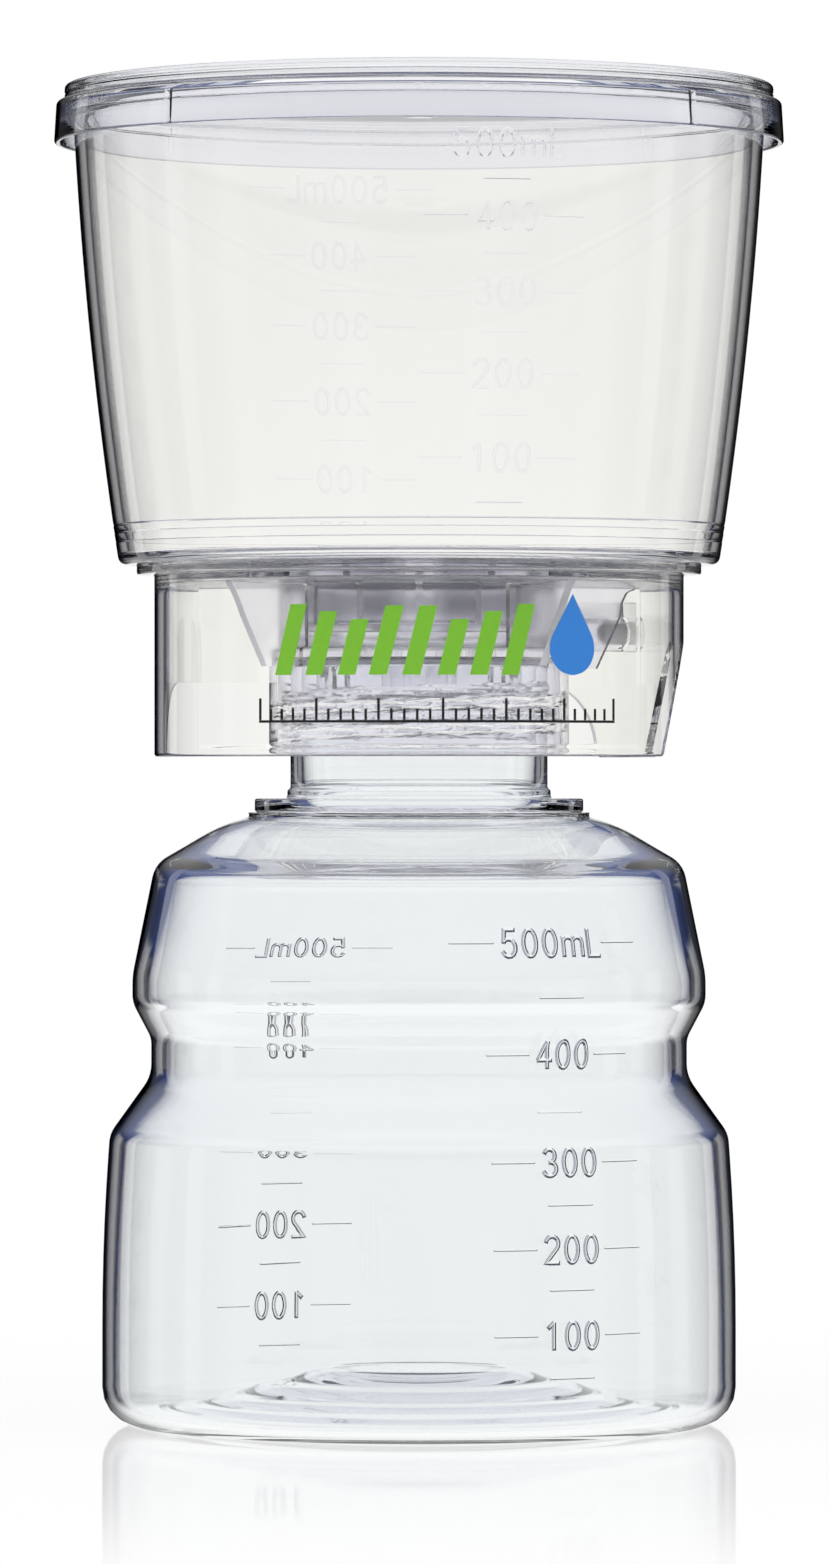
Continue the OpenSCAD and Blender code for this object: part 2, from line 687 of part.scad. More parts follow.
// A row of leaning green strokes that step up and down
module label_strokes() {
    lean = stroke_h * tan(stroke_lean);
    color([0.36, 0.68, 0.13]) for (k = [0:stroke_count - 1]) {
        h = stroke_h * (stroke_low + (1 - stroke_low) * abs(cos(k * 360 / (stroke_count - 1))));
        slope = lean * h / stroke_h;
        ink(arc_deg(k * stroke_pitch + stroke_w / 2 - label_w / 2)) polygon([
            [-stroke_w / 2 - slope / 2, stroke_z], [stroke_w / 2 - slope / 2, stroke_z],
            [stroke_w / 2 + slope / 2, stroke_z + h], [-stroke_w / 2 + slope / 2, stroke_z + h]
        ]);
    }
}

// A blue drop: a round foot under a point
module label_drop() {
    r = drop_w / 2;
    steps = 24;
    foot = [for (k = [0:steps]) let (a = 180 - drop_angle / 2 + (180 + drop_angle) * k / steps)
        [r * cos(a), r * sin(a)]];
    color([0.16, 0.50, 0.80]) ink(arc_deg(label_w / 2 - r)) translate([0, stroke_z + r])
        polygon(concat(foot, [[0, r / sin(drop_angle / 2)]]));
}

// A black rule with a tick at each step, long at every fifth
module label_rule() {
    rule_z = panel_z + rule_lift;
    span = (tick_count - 1) * tick_pitch;
    color([0.08, 0.08, 0.09]) union() {
        sector(ink_r, ink_r + ink_t, rule_z - tick_w / 2, rule_z + tick_w / 2,
               label_az - arc_deg(span + tick_w) / 2, label_az + arc_deg(span + tick_w) / 2);
        for (k = [0:tick_count - 1]) let (
            az = label_az + arc_deg(k * tick_pitch - span / 2), half = arc_deg(tick_w) / 2,
            l = k % 5 == 0 ? tick_l : tick_l * tick_short
        ) sector(ink_r, ink_r + ink_t, rule_z, rule_z + l, az - half, az + half);
    }
}

bottle();
neck_seal();
filter_base();
membrane();
port_plug();
funnel();
lid();
label_strokes();
label_drop();
label_rule();
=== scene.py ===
import math

import bpy
import numpy as np
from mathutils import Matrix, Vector


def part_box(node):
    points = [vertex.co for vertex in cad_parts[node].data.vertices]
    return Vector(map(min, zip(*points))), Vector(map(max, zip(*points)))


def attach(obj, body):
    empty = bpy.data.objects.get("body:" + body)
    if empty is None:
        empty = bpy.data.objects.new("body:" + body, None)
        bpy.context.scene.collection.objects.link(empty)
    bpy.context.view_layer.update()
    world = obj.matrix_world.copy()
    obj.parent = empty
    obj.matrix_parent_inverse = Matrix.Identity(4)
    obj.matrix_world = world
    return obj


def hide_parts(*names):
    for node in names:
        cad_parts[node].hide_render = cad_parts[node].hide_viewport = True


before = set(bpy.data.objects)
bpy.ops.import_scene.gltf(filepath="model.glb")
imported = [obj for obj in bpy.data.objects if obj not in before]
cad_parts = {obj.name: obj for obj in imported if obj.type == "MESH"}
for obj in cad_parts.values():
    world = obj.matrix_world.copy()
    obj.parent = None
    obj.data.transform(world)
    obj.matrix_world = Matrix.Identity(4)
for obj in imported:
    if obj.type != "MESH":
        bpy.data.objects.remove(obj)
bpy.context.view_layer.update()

# ==== Storage bottle ====
# One blow moulding of clear polystyrene: a rippled push-up inside the standing ring, a barrel body, a
# waist and a bulge, a shoulder with a carrying bead, and a neck that the collar screws onto. The wall is
# blown thicker in the waist and the shoulder. A scale stands up from it on the front and on the back.
# Outlines are in millimetres, and MM turns them to metres
MM = 0.001


def rounded(path, steps=5):
    """The points of a path, with an arc at each corner that has a third number, its radius r. The arc's
    centre lies on the corner's bisector, at r / sin(half the corner's angle) from the corner, and the
    arc is cut into as many equal parts as steps says."""
    out = []
    for i, p in enumerate(path):
        b = np.array(p[:2], float)
        if len(p) == 2:
            out.append(b)
            continue
        a, c = np.array(path[i - 1][:2], float), np.array(path[(i + 1) % len(path)][:2], float)
        u, v = (a - b) / np.linalg.norm(a - b), (c - b) / np.linalg.norm(c - b)
        half = math.acos(float(u @ v)) / 2
        centre = b + (u + v) / np.linalg.norm(u + v) * p[2] / math.sin(half)
        start = b + u * p[2] / math.tan(half) - centre
        turn = (math.pi - 2 * half) * np.sign(u[1] * v[0] - u[0] * v[1])
        at = math.atan2(start[1], start[0]) + turn * np.arange(steps + 1) / steps
        out += list(centre + p[2] * np.stack([np.cos(at), np.sin(at)], 1))
    return np.array(out)


def inset(path, wall):
    """The path moved to its left by wall, one number or one a point: each point goes along the sum n of
    the normals of its two stretches, by 2 wall / |n|^2."""
    step = np.diff(path, axis=0)
    normal = np.stack([-step[:, 1], step[:, 0]], 1) / np.linalg.norm(step, axis=1)[:, None]
    n = np.vstack([normal[:1], normal]) + np.vstack([normal, normal[-1:]])
    return path + n * (2 * np.asarray(wall) / (n * n).sum(1))[:, None]


def refined(path, step, bands=()):
    """The path with each stretch cut into equal parts no longer than step, or than a band's own step
    between the band's two heights (low, high, step)."""
    out = [path[0]]
    edges = sorted(e for low, high, _ in bands for e in (low, high))
    for a, b in zip(path, path[1:]):
        rise = b[1] - a[1]
        upright = abs(rise) > 1e-6
        cuts = sorted((e - a[1]) / rise for e in edges if upright and 0 < (e - a[1]) / rise < 1)
        for s, t in zip([0, *cuts], [*cuts, 1]):
            p, q = a + (b - a) * s, a + (b - a) * t
            middle = (p[1] + q[1]) / 2
            fine = min([step] + [d for low, high, d in bands if low < middle < high and upright])
            n = max(1, math.ceil(np.linalg.norm(q - p) / fine))
            out += [p + (q - p) * k / n for k in range(1, n + 1)]
    return np.array(out)


def columns(step, zones=()):
    """Angles around the circle, step degrees apart, or a zone's own step inside (from, to, step)."""
    edges = sorted({0.0, 360.0} | {float(e) for a, b, _ in zones for e in (a, b)})
    out = []
    for a, b in zip(edges, edges[1:]):
        fine = min([step] + [d for lo, hi, d in zones if lo < (a + b) / 2 < hi])
        out.append(np.linspace(a, b, max(1, math.ceil((b - a) / fine)), endpoint=False))
    return np.radians(np.concatenate(out))


def turned(R, Z, angles, first=0, loop=False):
    """Rows of radius R and height Z at each angle a, as vertices (R cos a, R sin a, Z), and the quads
    between the rows. loop joins the last row to the first."""
    m, n = R.shape
    verts = np.stack([R * np.cos(angles), R * np.sin(angles), Z], -1).reshape(-1, 3)
    i, j = np.meshgrid(np.arange(m if loop else m - 1), np.arange(n), indexing="ij")
    i2, j2 = (i + 1) % m, (j + 1) % n
    quads = first + np.stack([i * n + j, i * n + j2, i2 * n + j2, i2 * n + j], -1).reshape(-1, 4)
    return verts, quads.tolist()


def bridge(dense, n, coarse, keep, flip=False):
    """Polygons between a ring of n vertices and a ring that has only the columns in keep."""
    faces = []
    for k, j0 in enumerate(keep):
        j1 = keep[k + 1] if k + 1 < len(keep) else n
        run = [dense + j % n for j in range(j0, j1 + 1)] + [coarse + (k + 1) % len(keep), coarse + k]
        faces.append(run[::-1] if flip else run)
    return faces


def fan(ring, n, pole, flip=False):
    """Triangles between a ring of n vertices and a vertex on the axis."""
    faces = [[ring + j, ring + (j + 1) % n, pole] for j in range(n)]
    return [f[::-1] for f in faces] if flip else faces


def solid(name, verts, faces, sharp=32):
    """A mesh object from vertices in millimetres, smooth but for edges sharper than the angle."""
    mesh = bpy.data.meshes.new(name)
    mesh.from_pydata((np.asarray(verts) * MM).tolist(), [], faces)
    mesh.validate()
    mesh.shade_smooth()
    mesh.set_sharp_from_angle(angle=math.radians(sharp))
    obj = bpy.data.objects.new(name, mesh)
    bpy.context.scene.collection.objects.link(obj)
    return obj


def arc(cx, cy, rx, ry, a0, a1, n=12):
    """Points of an ellipse's arc from a0 to a1 degrees."""
    a = np.radians(np.linspace(a0, a1, n))
    return list(zip(cx + rx * np.cos(a), cy + ry * np.sin(a)))


# The scale's signs: the room that each takes, and its centre lines, both in heights of a numeral
SIGNS = {
    "0": (0.84, [arc(0.26, 0.5, 0.26, 0.5, 0, 360, 24)]),
    "1": (0.84, [[(0.08, 0.8), (0.28, 0.98)], [(0.3, 1.0), (0.3, 0.0)]]),
    "2": (0.84, [arc(0.26, 0.72, 0.26, 0.28, 165, -38) + [(0.0, 0.0), (0.54, 0.0)]]),
    "3": (0.84, [arc(0.25, 0.755, 0.22, 0.245, 155, -90), arc(0.25, 0.26, 0.27, 0.26, 90, -155)]),
    "4": (0.84, [[(0.4, 0.0), (0.4, 1.0)], [(0.36, 0.95), (0.03, 0.33)], [(0.0, 0.3), (0.58, 0.3)]]),
    "5": (0.84, [[(0.48, 1.0), (0.09, 1.0), (0.05, 0.52)], arc(0.24, 0.32, 0.27, 0.33, 138, -150)]),
    "m": (1.13, [[(0.0, 0.0), (0.0, 0.72)], arc(0.21, 0.5, 0.21, 0.2, 160, 0) + [(0.42, 0.0)],
                 arc(0.63, 0.5, 0.21, 0.2, 160, 0) + [(0.84, 0.0)]]),
    "L": (0.62, [[(0.0, 1.0), (0.0, 0.0), (0.5, 0.0)]]),
}


def mark_lines(text, height, tick):
    """The centre lines of a mark in mm, each with its width as a share of a numeral's. A mark is a text
    between two ticks, or one tick that is a little longer."""
    tick_share, longer, gap, between = 0.4, 0.4, 1.5, 0.32
    if not text:
        return [([(-tick / 2 - longer, 0), (tick / 2 + longer, 0)], tick_share)]
    width = sum(SIGNS[c][0] for c in text) - between
    lines, x = [], -width / 2
    for c in text:
        lines += [([((x + p) * height, (q - 0.5) * height) for p, q in line], 1.0) for line in SIGNS[c][1]]
        x += SIGNS[c][0]
    edge = width * height / 2 + gap
    ticks = [(-edge - tick, 0), (-edge, 0)], [(edge, 0), (edge + tick, 0)]
    return lines + [(line, tick_share) for line in ticks]


def ridge(line, width, flank, stand):
    """A ridge along a line of (u, v), as points (u, v, height over the wall) and faces. Its foot is sunk
    into the wall and its flanks lean in above the wall. At a bend it goes along the sum n of the two
    sides' normals, by 2 offset / |n|^2. A line that ends where it began is a ring."""
    sunk = 0.5
    p = np.array(line, float)
    ring = bool(np.allclose(p[0], p[-1]))
    p = refined(p, 1.0)[: -1 if ring else None]
    after = np.roll(p, -1, 0) - p
    before = p - np.roll(p, 1, 0)
    if not ring:
        before[0], after[-1] = after[0], before[-1]
    before, after = (d / np.linalg.norm(d, axis=1)[:, None] for d in (before, after))
    along = before + after
    n = np.stack([-along[:, 1], along[:, 0]], 1)
    side = n * (2 / np.maximum((n * n).sum(1), 1.2))[:, None]
    half = width / 2
    # Each corner of the section: distance to the side, height, and how far the ridge's end draws back
    section = [(-half, -sunk, 0), (half, -sunk, 0), (half, 0, 0), (half - flank, stand, flank),
               (flank - half, stand, flank), (-half, 0, 0)]
    ends = np.zeros(len(p))
    if not ring:
        ends[0], ends[-1] = 1, -1
    verts = np.stack([np.column_stack([p + side * d + after * (ends * (back - half / 2))[:, None],
                                       np.full(len(p), h)]) for d, h, back in section], 1).reshape(-1, 3)
    m, c = len(p), len(section)
    faces = [[i * c + j, i * c + (j + 1) % c, (i + 1) % m * c + (j + 1) % c, (i + 1) % m * c + j]
             for i in range(m if ring else m - 1) for j in range(c)]
    if not ring:
        last = (m - 1) * c
        faces += [[5, 2, 1, 0], [5, 4, 3, 2]]
        faces += [[last + j for j in (0, 1, 2, 5)], [last + j for j in (2, 3, 4, 5)]]
    return verts, faces


def joined(parts):
    """Several (vertices, faces) as one."""
    verts, faces, first = [], [], 0
    for v, f in parts:
        verts.append(v)
        faces += [[first + i for i in face] for face in f]
        first += len(v)
    return np.vstack(verts), faces


def cut(obj, parts, operation):
    """Unites the parts with obj, or takes them out of it, and keeps the result as its mesh."""
    tool = solid("tool", *joined(parts))
    mod = obj.modifiers.new("cut", "BOOLEAN")
    mod.object, mod.operation, mod.solver = tool, operation, "MANIFOLD"
    bpy.context.view_layer.update()
    mesh = bpy.data.meshes.new_from_object(obj.evaluated_get(bpy.context.evaluated_depsgraph_get()))
    obj.modifiers.clear()
    obj.data = mesh
    bpy.data.objects.remove(tool)


def finish(obj, sharp=32):
    """Smooth shading but for edges sharper than the angle, and no material of a cutting tool."""
    obj.data.shade_smooth()
    obj.data.set_sharp_from_angle(angle=math.radians(sharp))
    obj.data.materials.clear()


def scaled(obj, wall, marks, sides, height, tick, width, flank, stand):
    """Joins the marks (height, text, degrees to the right of the side's direction) to a wall of outline
    wall, by bending each mark's flat ridge (u, v, h) to the angle u / r, the height v and the radius
    r + h. Lines that cross in one sign go on one after the other."""
    layers = {}
    for side in sides:
        for z, text, off in marks:
            r0 = np.interp(z, wall[:, 1], wall[:, 0])
            seen = {}
            for line, share in mark_lines(text, height, tick):
                verts, faces = ridge(line, width * share, flank * share, stand * share)
                a = math.radians(side + off) + verts[:, 0] / r0
                up = z + verts[:, 1]
                r = np.interp(up, wall[:, 1], wall[:, 0]) + verts[:, 2]
                sign = round(float(np.mean(line, 0)[0]) / height)
                layer = seen[sign] = seen.get(sign, -1) + 1
                layers.setdefault(layer, []).append((np.stack([r * np.cos(a), r * np.sin(a), up], 1), faces))
    for layer in sorted(layers):
        cut(obj, layers[layer], "UNION")


def facets(obj):
    """The centre of each face in mm, its distance from the axis, its normal, and the normal's outward
    part."""
    count = len(obj.data.polygons)
    centre, normal = np.empty(3 * count), np.empty(3 * count)
    obj.data.polygons.foreach_get("center", centre)
    obj.data.polygons.foreach_get("normal", normal)
    centre, normal = centre.reshape(-1, 3) / MM, normal.reshape(-1, 3)
    r = np.hypot(centre[:, 0], centre[:, 1])
    return centre, r, normal, (normal[:, :2] * centre[:, :2]).sum(1) / r


def paint_shade_on_flanks(obj, wall, marks, lean, turned_away):
    """Gives the signs' flanks painted shade, as the second material: the faces at the marks' heights whose
    normal leans by more than lean degrees from the wall's own, which is (1, -dr/dz) scaled to the length 1,
    and whose lean to the right plus lean down is at least turned_away. The flanks of the other side that
    lean sideways get the third material, a lighter painted shade."""
    reach, over, rise, leans_sideways = 3, 0.05, 0.2, 0.2
    centre, r, normal, outward = facets(obj)
    z = centre[:, 2]
    below, here, higher = (np.interp(z + dz, wall[:, 1], wall[:, 0]) for dz in (-rise, 0, rise))
    slope = (higher - below) / (2 * rise)
    agree = (outward - slope * normal[:, 2]) / np.sqrt(1 + slope**2)
    on_wall = (z > marks[0][0] - reach) & (z < marks[-1][0] + reach) & (r > here - over)
    flank = on_wall & (agree < math.cos(math.radians(lean)))
    sideways = (centre[:, 0] * normal[:, 1] - centre[:, 1] * normal[:, 0]) / r
    away = sideways - normal[:, 2] > turned_away
    index = np.where(flank & away, 1, np.where(flank & (np.abs(sideways) > leans_sideways), 2, 0))
    obj.data.polygons.foreach_set("material_index", index.astype(np.int32))


def thread(angles, z, z0, start):
    """Height of a thread's ridge at each angle and height, over a helix that begins at z0 and start. A
    point at the distance d from the helix's middle has the share f = (root - |d|) / flank of the way up,
    between 0 and 1, and the height depth f (3 - f) / 2. The ridge fades in and out over an eighth of a
    turn."""
    turns, pitch, depth, root, flank, fade = 2, 4.0, 1.6, 0.9, 0.55, 8
    height = np.zeros(np.broadcast(angles, z).shape)
    for k in range(turns + 1):
        t = ((angles - math.radians(start)) % (2 * math.pi)) / (2 * math.pi) + k
        ends = np.clip(np.minimum(t, turns - t) * fade, 0, 1)
        share = np.clip((root - np.abs(z - z0 - pitch * t)) / flank, 0, 1)
        height = np.maximum(height, depth * ends * share * (3 - share) / 2)
    return height


def linear(hexcode):
    """The linear colour of an sRGB hex code: c / 12.92 up to 0.04045, else ((c + 0.055) / 1.055)^2.4."""
    c = [int(hexcode[i : i + 2], 16) / 255 for i in (1, 3, 5)]
    return [x / 12.92 if x <= 0.04045 else ((x + 0.055) / 1.055) ** 2.4 for x in c] + [1.0]


def add(tree, kind, settings=(), links=()):
    """A node of this kind, with its attributes or inputs set and its inputs linked."""
    made = tree.nodes.new("ShaderNode" + kind)
    for name, value in dict(settings).items():
        if isinstance(name, str) and hasattr(made, name):
            setattr(made, name, value)
        else:
            made.inputs[name].default_value = value
    for name, source in dict(links).items():
        tree.links.new(source, made.inputs[name])
    return made


def clear_plastic(name, tint, edge, waves, depth, milky=None, frosted=None):
    """Moulded or blown polystyrene: glossy, nearly colourless, and with a high index, so that walls show by
    their edges, which a painted shade darkens further. tint is what one wall lets through, and edge the
    painted shade that an upright wall's base colour goes to where it is seen along its face. waves and depth
    are the size and the height in mm of the slow ripples that the mould leaves. milky is the radius in mm
    within which the plastic is a little cloudy, and frosted the radius and the height of the core that is
    frosted above that height."""
    made = bpy.data.materials.new(name)
    made.use_nodes = True
    tree = made.node_tree
    tree.nodes.clear()
    where = add(tree, "TexCoord")
    ripple = add(tree, "TexNoise", {"Scale": 1 / (waves * MM), "Detail": 1.5},
                 {"Vector": where.outputs["Object"]})
    bump = add(tree, "Bump", {"Strength": 1.0, "Distance": depth * MM}, {"Height": ripple.outputs["Fac"]})
    # The share of painted edge shade: how far the wall stands upright, times how far it is seen along its
    # face
    facing = add(tree, "LayerWeight", {"Blend": 0.5})
    lies = add(tree, "SeparateXYZ", {}, {0: where.outputs["Normal"]})
    flat = add(tree, "Math", {"operation": "ABSOLUTE"}, {0: lies.outputs["Z"]})
    upright = add(tree, "MapRange", {"From Min": 0.6, "From Max": 0.85, "To Min": 1.0, "To Max": 0.0},
                  {"Value": flat.outputs[0]})
    ramp = add(tree, "MapRange", {"From Min": 0.4, "From Max": 0.9}, {"Value": facing.outputs["Facing"]})
    along = add(tree, "Math", {"operation": "POWER", 1: 3.0}, {0: ramp.outputs[0]})
    share = add(tree, "Math", {"operation": "MULTIPLY"}, {0: upright.outputs[0], 1: along.outputs[0]})
    painted_edge_shade = add(tree, "Mix", {"data_type": "RGBA", 6: linear(tint), 7: linear(edge)}, {0: share.outputs[0]})
    shader = add(tree, "BsdfPrincipled", {"Transmission Weight": 1.0, "IOR": 1.57, "Roughness": 0.0},
                 {"Base Color": painted_edge_shade.outputs[2], "Normal": bump.outputs[0]})
    if milky:
        # Cloudy and a little bluer inside the skirt, and less mirror-like all over
        level = add(tree, "VectorMath", {"operation": "MULTIPLY", 1: (1, 1, 0)}, {0: where.outputs["Object"]})
        from_axis = add(tree, "VectorMath", {"operation": "LENGTH"}, {0: level.outputs[0]})
        border = {"From Min": (milky - 0.5) * MM, "From Max": (milky + 0.5) * MM}
        clear = add(tree, "MapRange", {**border, "To Min": 0.98}, {"Value": from_axis.outputs["Value"]})
        tree.links.new(clear.outputs[0], shader.inputs["Transmission Weight"])
        outer = add(tree, "MapRange", border, {"Value": from_axis.outputs["Value"]})
        tone = add(tree, "Mix", {"data_type": "RGBA", 6: linear("#fdfdff"), 7: linear(tint)},
                   {0: outer.outputs[0]})
        tree.links.new(tone.outputs[2], painted_edge_shade.inputs[6])
        shader.inputs["Specular Tint"].default_value = (0.35, 0.35, 0.35, 1)
    if milky and frosted:
        core_r, core_z = frosted
        core = add(tree, "MapRange", {"From Min": (core_r + 0.3) * MM, "From Max": (core_r - 0.3) * MM},
                   {"Value": from_axis.outputs["Value"]})
        place = add(tree, "SeparateXYZ", {}, {0: where.outputs["Object"]})
        upper = add(tree, "MapRange", {"From Min": (core_z - 1) * MM, "From Max": (core_z + 1) * MM,
                                       "To Min": 0.0, "To Max": 0.13}, {"Value": place.outputs["Z"]})
        rough = add(tree, "Math", {"operation": "MULTIPLY"}, {0: core.outputs[0], 1: upper.outputs[0]})
        tree.links.new(rough.outputs[0], shader.inputs["Roughness"])
    add(tree, "OutputMaterial", {}, {"Surface": shader.outputs[0]})
    return made


# Each outline is a list of (radius, height, fillet). Tiny gaps keep a piece inside its CAD box
bottle_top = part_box("bottle")[1] / MM
body_r, lip_z = bottle_top[0], bottle_top[2]
stand_gap, pushup_z, neck_r, neck_bore = 0.02, 7.5, 20.5, 18.7
bottle_skin = [
    (0, pushup_z), (14.5, pushup_z, 2.5), (41.5, stand_gap, 1.5), (body_r, stand_gap, 6),
    (body_r, 29.6, 380), (49.3, 46.3, 5), (42.7, 55.5, 6), (42.7, 61.5, 4), (45.7, 67.2, 5),
    (45.7, 71.5, 14), (42.1, 89.3, 5), (31.516, 95.531, 25),
]
bottle_outside = rounded(bottle_skin + [
    (24.3, 97.55, 0.4), (26.2, 97.5, 0.4), (26.2, 99.7, 0.4), (21.0, 99.7, 0.5), (21.0, 101.0, 0.5),
    (neck_r, 101.4, 0.5), (neck_r, lip_z - stand_gap, 0.4), (neck_bore, lip_z - stand_gap),
])[:-1]
# The inside is the skin without the bead, moved in by the thickness at its height, which is evened out
# over 13 points
skin = refined(rounded(bottle_skin + [(neck_r, 98.6, 2), (neck_r, lip_z - stand_gap)]), 1.0)
thickness = np.interp(skin[:, 1], [10, 50, 58, 75, 88, 93, 98, 102, 108],
                      [1.8, 2.3, 2.8, 2.5, 3.3, 3.3, 2.4, 2.0, 1.8])
window = np.hanning(13)
thickness = np.convolve(np.pad(thickness, 6, mode="edge"), window / window.sum(), "valid")
bottle_inside = inset(skin, thickness)[::-1]
# The scale's marks: height, text, and degrees to the right of the side's direction
bottle_marks = [
    (10.3, "", 28), (16.9, "100", 28), (23.9, "", 28), (30.2, "200", 28), (37.0, "", 28), (43.6, "300", 28),
    (51.2, "", 28.5), (60.0, "400", 31.5), (68.9, "", 29), (77.4, "500mL", 27.2),
]
front, back = 270, 90
angles = columns(2.0, [(s + 12, s + 44, 1.0) for s in (back, front)])
keep = list(range(0, len(angles), 2))
out = refined(bottle_outside[1:], 1.6, [(107.5, 119.5, 0.32)])
inn = refined(bottle_inside[:-1], 2.0)
# Five rings of ripples inside the push-up, closer together further out: a sine of the radius to the
# power of 1.5
pushup_r, ring_count, ring_h = 42, 5, 0.2
in_pushup = (inn[:, 1] < 12) * (inn[:, 0] < pushup_r)
inn[:, 1] += ring_h * np.sin((inn[:, 0] / pushup_r) ** 1.5 * 2 * math.pi * ring_count) * in_pushup
R, Z = (np.repeat(out[:, k : k + 1], len(angles), 1) for k in (0, 1))
on_neck = (Z > 107) & (Z < 119.9) & (R > 19)
thread_z = 109.4
R = R + np.where(on_neck, thread(angles, Z, thread_z, 0), 0)
outer, faces = turned(R, Z, angles)
n_out = len(outer)
R, Z = (np.repeat(inn[:, k : k + 1], len(keep), 1) for k in (0, 1))
inner, more = turned(R, Z, angles[keep], n_out)
poles = np.array([[0, 0, pushup_z], [0, 0, bottle_inside[-1][1]]])
first_pole = n_out + len(inner)
faces += more + bridge(n_out - len(angles), len(angles), n_out, keep)
faces += fan(0, len(angles), first_pole, flip=True)
faces += fan(first_pole - len(keep), len(keep), first_pole + 1)
bottle = solid("storage_bottle", np.vstack([outer, inner, poles]), faces)
side = bottle_outside[(bottle_outside[:, 1] > stand_gap) & (bottle_outside[:, 1] < 89)]
side = side[side[:, 0] > 41]
scaled(bottle, side, bottle_marks, (back, front), height=4.1, tick=6.9, width=0.76, flank=0.31, stand=0.18)
finish(bottle, 20)
# Clear polystyrene, blown: colourless with slow ripples, and a painted, cold, nearly black shade along its
# edges. The scale's flanks bend the view past the room's light, and painted shade on them draws the signs as
# dark lines, lighter on the lit side
for name, tint in (("clear polystyrene, blown", "#fbfdfd"),
                   ("clear polystyrene, blown scale, painted shade", "#12151f"),
                   ("clear polystyrene, blown scale, lighter painted shade", "#7d828f")):
    bottle.data.materials.append(clear_plastic(name, tint, "#121a4a", waves=26, depth=0.03))
paint_shade_on_flanks(bottle, side, bottle_marks, lean=15, turned_away=-0.1)
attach(bottle, "bottle")
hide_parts("bottle")

# ==== Sealing ring ====
# A soft ring of milky elastomer that lies on the bottle's lip, inside the collar, and is squeezed when
# the head is screwed down. Its edges are rounded and it shows as a pale band through the collar.
low, high = (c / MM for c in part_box("neck_seal"))
seal_bore, seal_gap, seal_edge = 18.9, 0.03, 0.3
section = rounded([
    (seal_bore, low[2] + seal_gap, seal_edge), (high[0], low[2] + seal_gap, seal_edge),
    (high[0], high[2] - seal_gap, seal_edge), (seal_bore, high[2] - seal_gap, seal_edge)])
angles = columns(3)
R, Z = (np.repeat(section[:, k : k + 1], len(angles), 1) for k in (0, 1))
seal = solid("sealing_ring", *turned(R, Z, angles, loop=True), sharp=60)
# Milky elastomer, moulded: a pale matt grey with a faint, fine orange peel
elastomer = bpy.data.materials.new("milky elastomer")
elastomer.use_nodes = True
tree = elastomer.node_tree
shader = tree.nodes["Principled BSDF"]
shader.inputs["Base Color"].default_value = linear("#dedbe6")
shader.inputs["Roughness"].default_value = 0.5
where = add(tree, "TexCoord")
peel = add(tree, "TexNoise", {"Scale": 1 / (0.5 * MM), "Detail": 2.0}, {"Vector": where.outputs["Object"]})
bump = add(tree, "Bump", {"Strength": 0.3, "Distance": 0.02 * MM}, {"Height": peel.outputs["Fac"]})
tree.links.new(bump.outputs[0], shader.inputs["Normal"])
seal.data.materials.append(elastomer)
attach(seal, "seal")
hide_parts("neck_seal")

# ==== Filter base ====
# One injection moulding of clear polystyrene. A tall skirt with a raised panel hangs from the plate
# that carries the membrane; inside it are the threaded collar, the vacuum chamber with its sump and
# drain spout, twelve fins under the membrane, four struts and the vacuum port's nozzle.
base_low, base_high = (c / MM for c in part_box("filter_base"))
skirt_z, plate_top, plate_r = base_low[2], base_high[2], 45.0
skirt_r, skirt_bore, panel_r, collar_bore, ceiling_z = 42.2, 40.6, 42.4, 22.5, 122.0
port_az, port_z, port_r, port_bore = 36, 126.4, 3.0, 1.9


def extruded(outline, az, half):
    """A plate whose outline is in (distance from the axis, height) at azimuth az: the outline moved by
    half to both sides along (-sin az, cos az)."""
    outline = np.asarray(outline, float)
    a, n = math.radians(az), len(outline)
    out = np.array([math.cos(a), math.sin(a), 0])
    side = np.array([-math.sin(a), math.cos(a), 0])
    flat = outline[:, :1] * out + outline[:, 1:] * np.array([0, 0, 1])
    verts = np.vstack([flat - half * side, flat + half * side])
    faces = [list(range(n)), list(range(2 * n - 1, n - 1, -1))]
    faces += [[(i + 1) % n, i, n + i, n + (i + 1) % n] for i in range(n)]
    return verts, faces


def rod(profile, az, z, sides=32, centre=(0.0, 0.0)):
    """A round rod with radius r at each distance d of profile [(d, r)], outward along az at height z, or
    upward from centre where az is None: each ring is d axis + r (cos t side + sin t up)."""
    a = 0 if az is None else math.radians(az)
    axis = np.array([0, 0, 1.0]) if az is None else np.array([math.cos(a), math.sin(a), 0])
    side = np.array([1.0, 0, 0]) if az is None else np.array([-math.sin(a), math.cos(a), 0])
    up = np.cross(axis, side)
    at = np.linspace(0, 2 * math.pi, sides, endpoint=False)
    ring = np.cos(at)[:, None] * side + np.sin(at)[:, None] * up
    verts = np.vstack([np.array([*centre, z]) + d * axis + r * ring for d, r in profile])
    m = len(profile)
    faces = [[i * sides + j, i * sides + (j + 1) % sides,
              (i + 1) * sides + (j + 1) % sides, (i + 1) * sides + j]
             for i in range(m - 1) for j in range(sides)]
    faces += [list(range(sides))[::-1], [(m - 1) * sides + j for j in range(sides)]]
    return verts, faces


def slab(az, top, z0, r0, r1):
    """A curved block between the radii r0 and r1, from z0 up to a height of its own at each azimuth."""
    az, top = np.radians(az), np.asarray(top, float)
    n = len(az)
    out = np.stack([np.cos(az), np.sin(az), np.zeros(n)], 1)
    lift = np.array([0, 0, 1.0])
    verts = np.vstack([out * r0 + lift * z0, out * r1 + lift * z0, out * r1 + lift * top[:, None],
                       out * r0 + lift * top[:, None]])
    faces = [[c * n + j, c * n + j + 1, (c + 1) % 4 * n + j + 1, (c + 1) % 4 * n + j]
             for j in range(n - 1) for c in range(4)]
    faces += [[c * n for c in range(4)], [c * n + n - 1 for c in range(4)][::-1]]
    return verts, faces


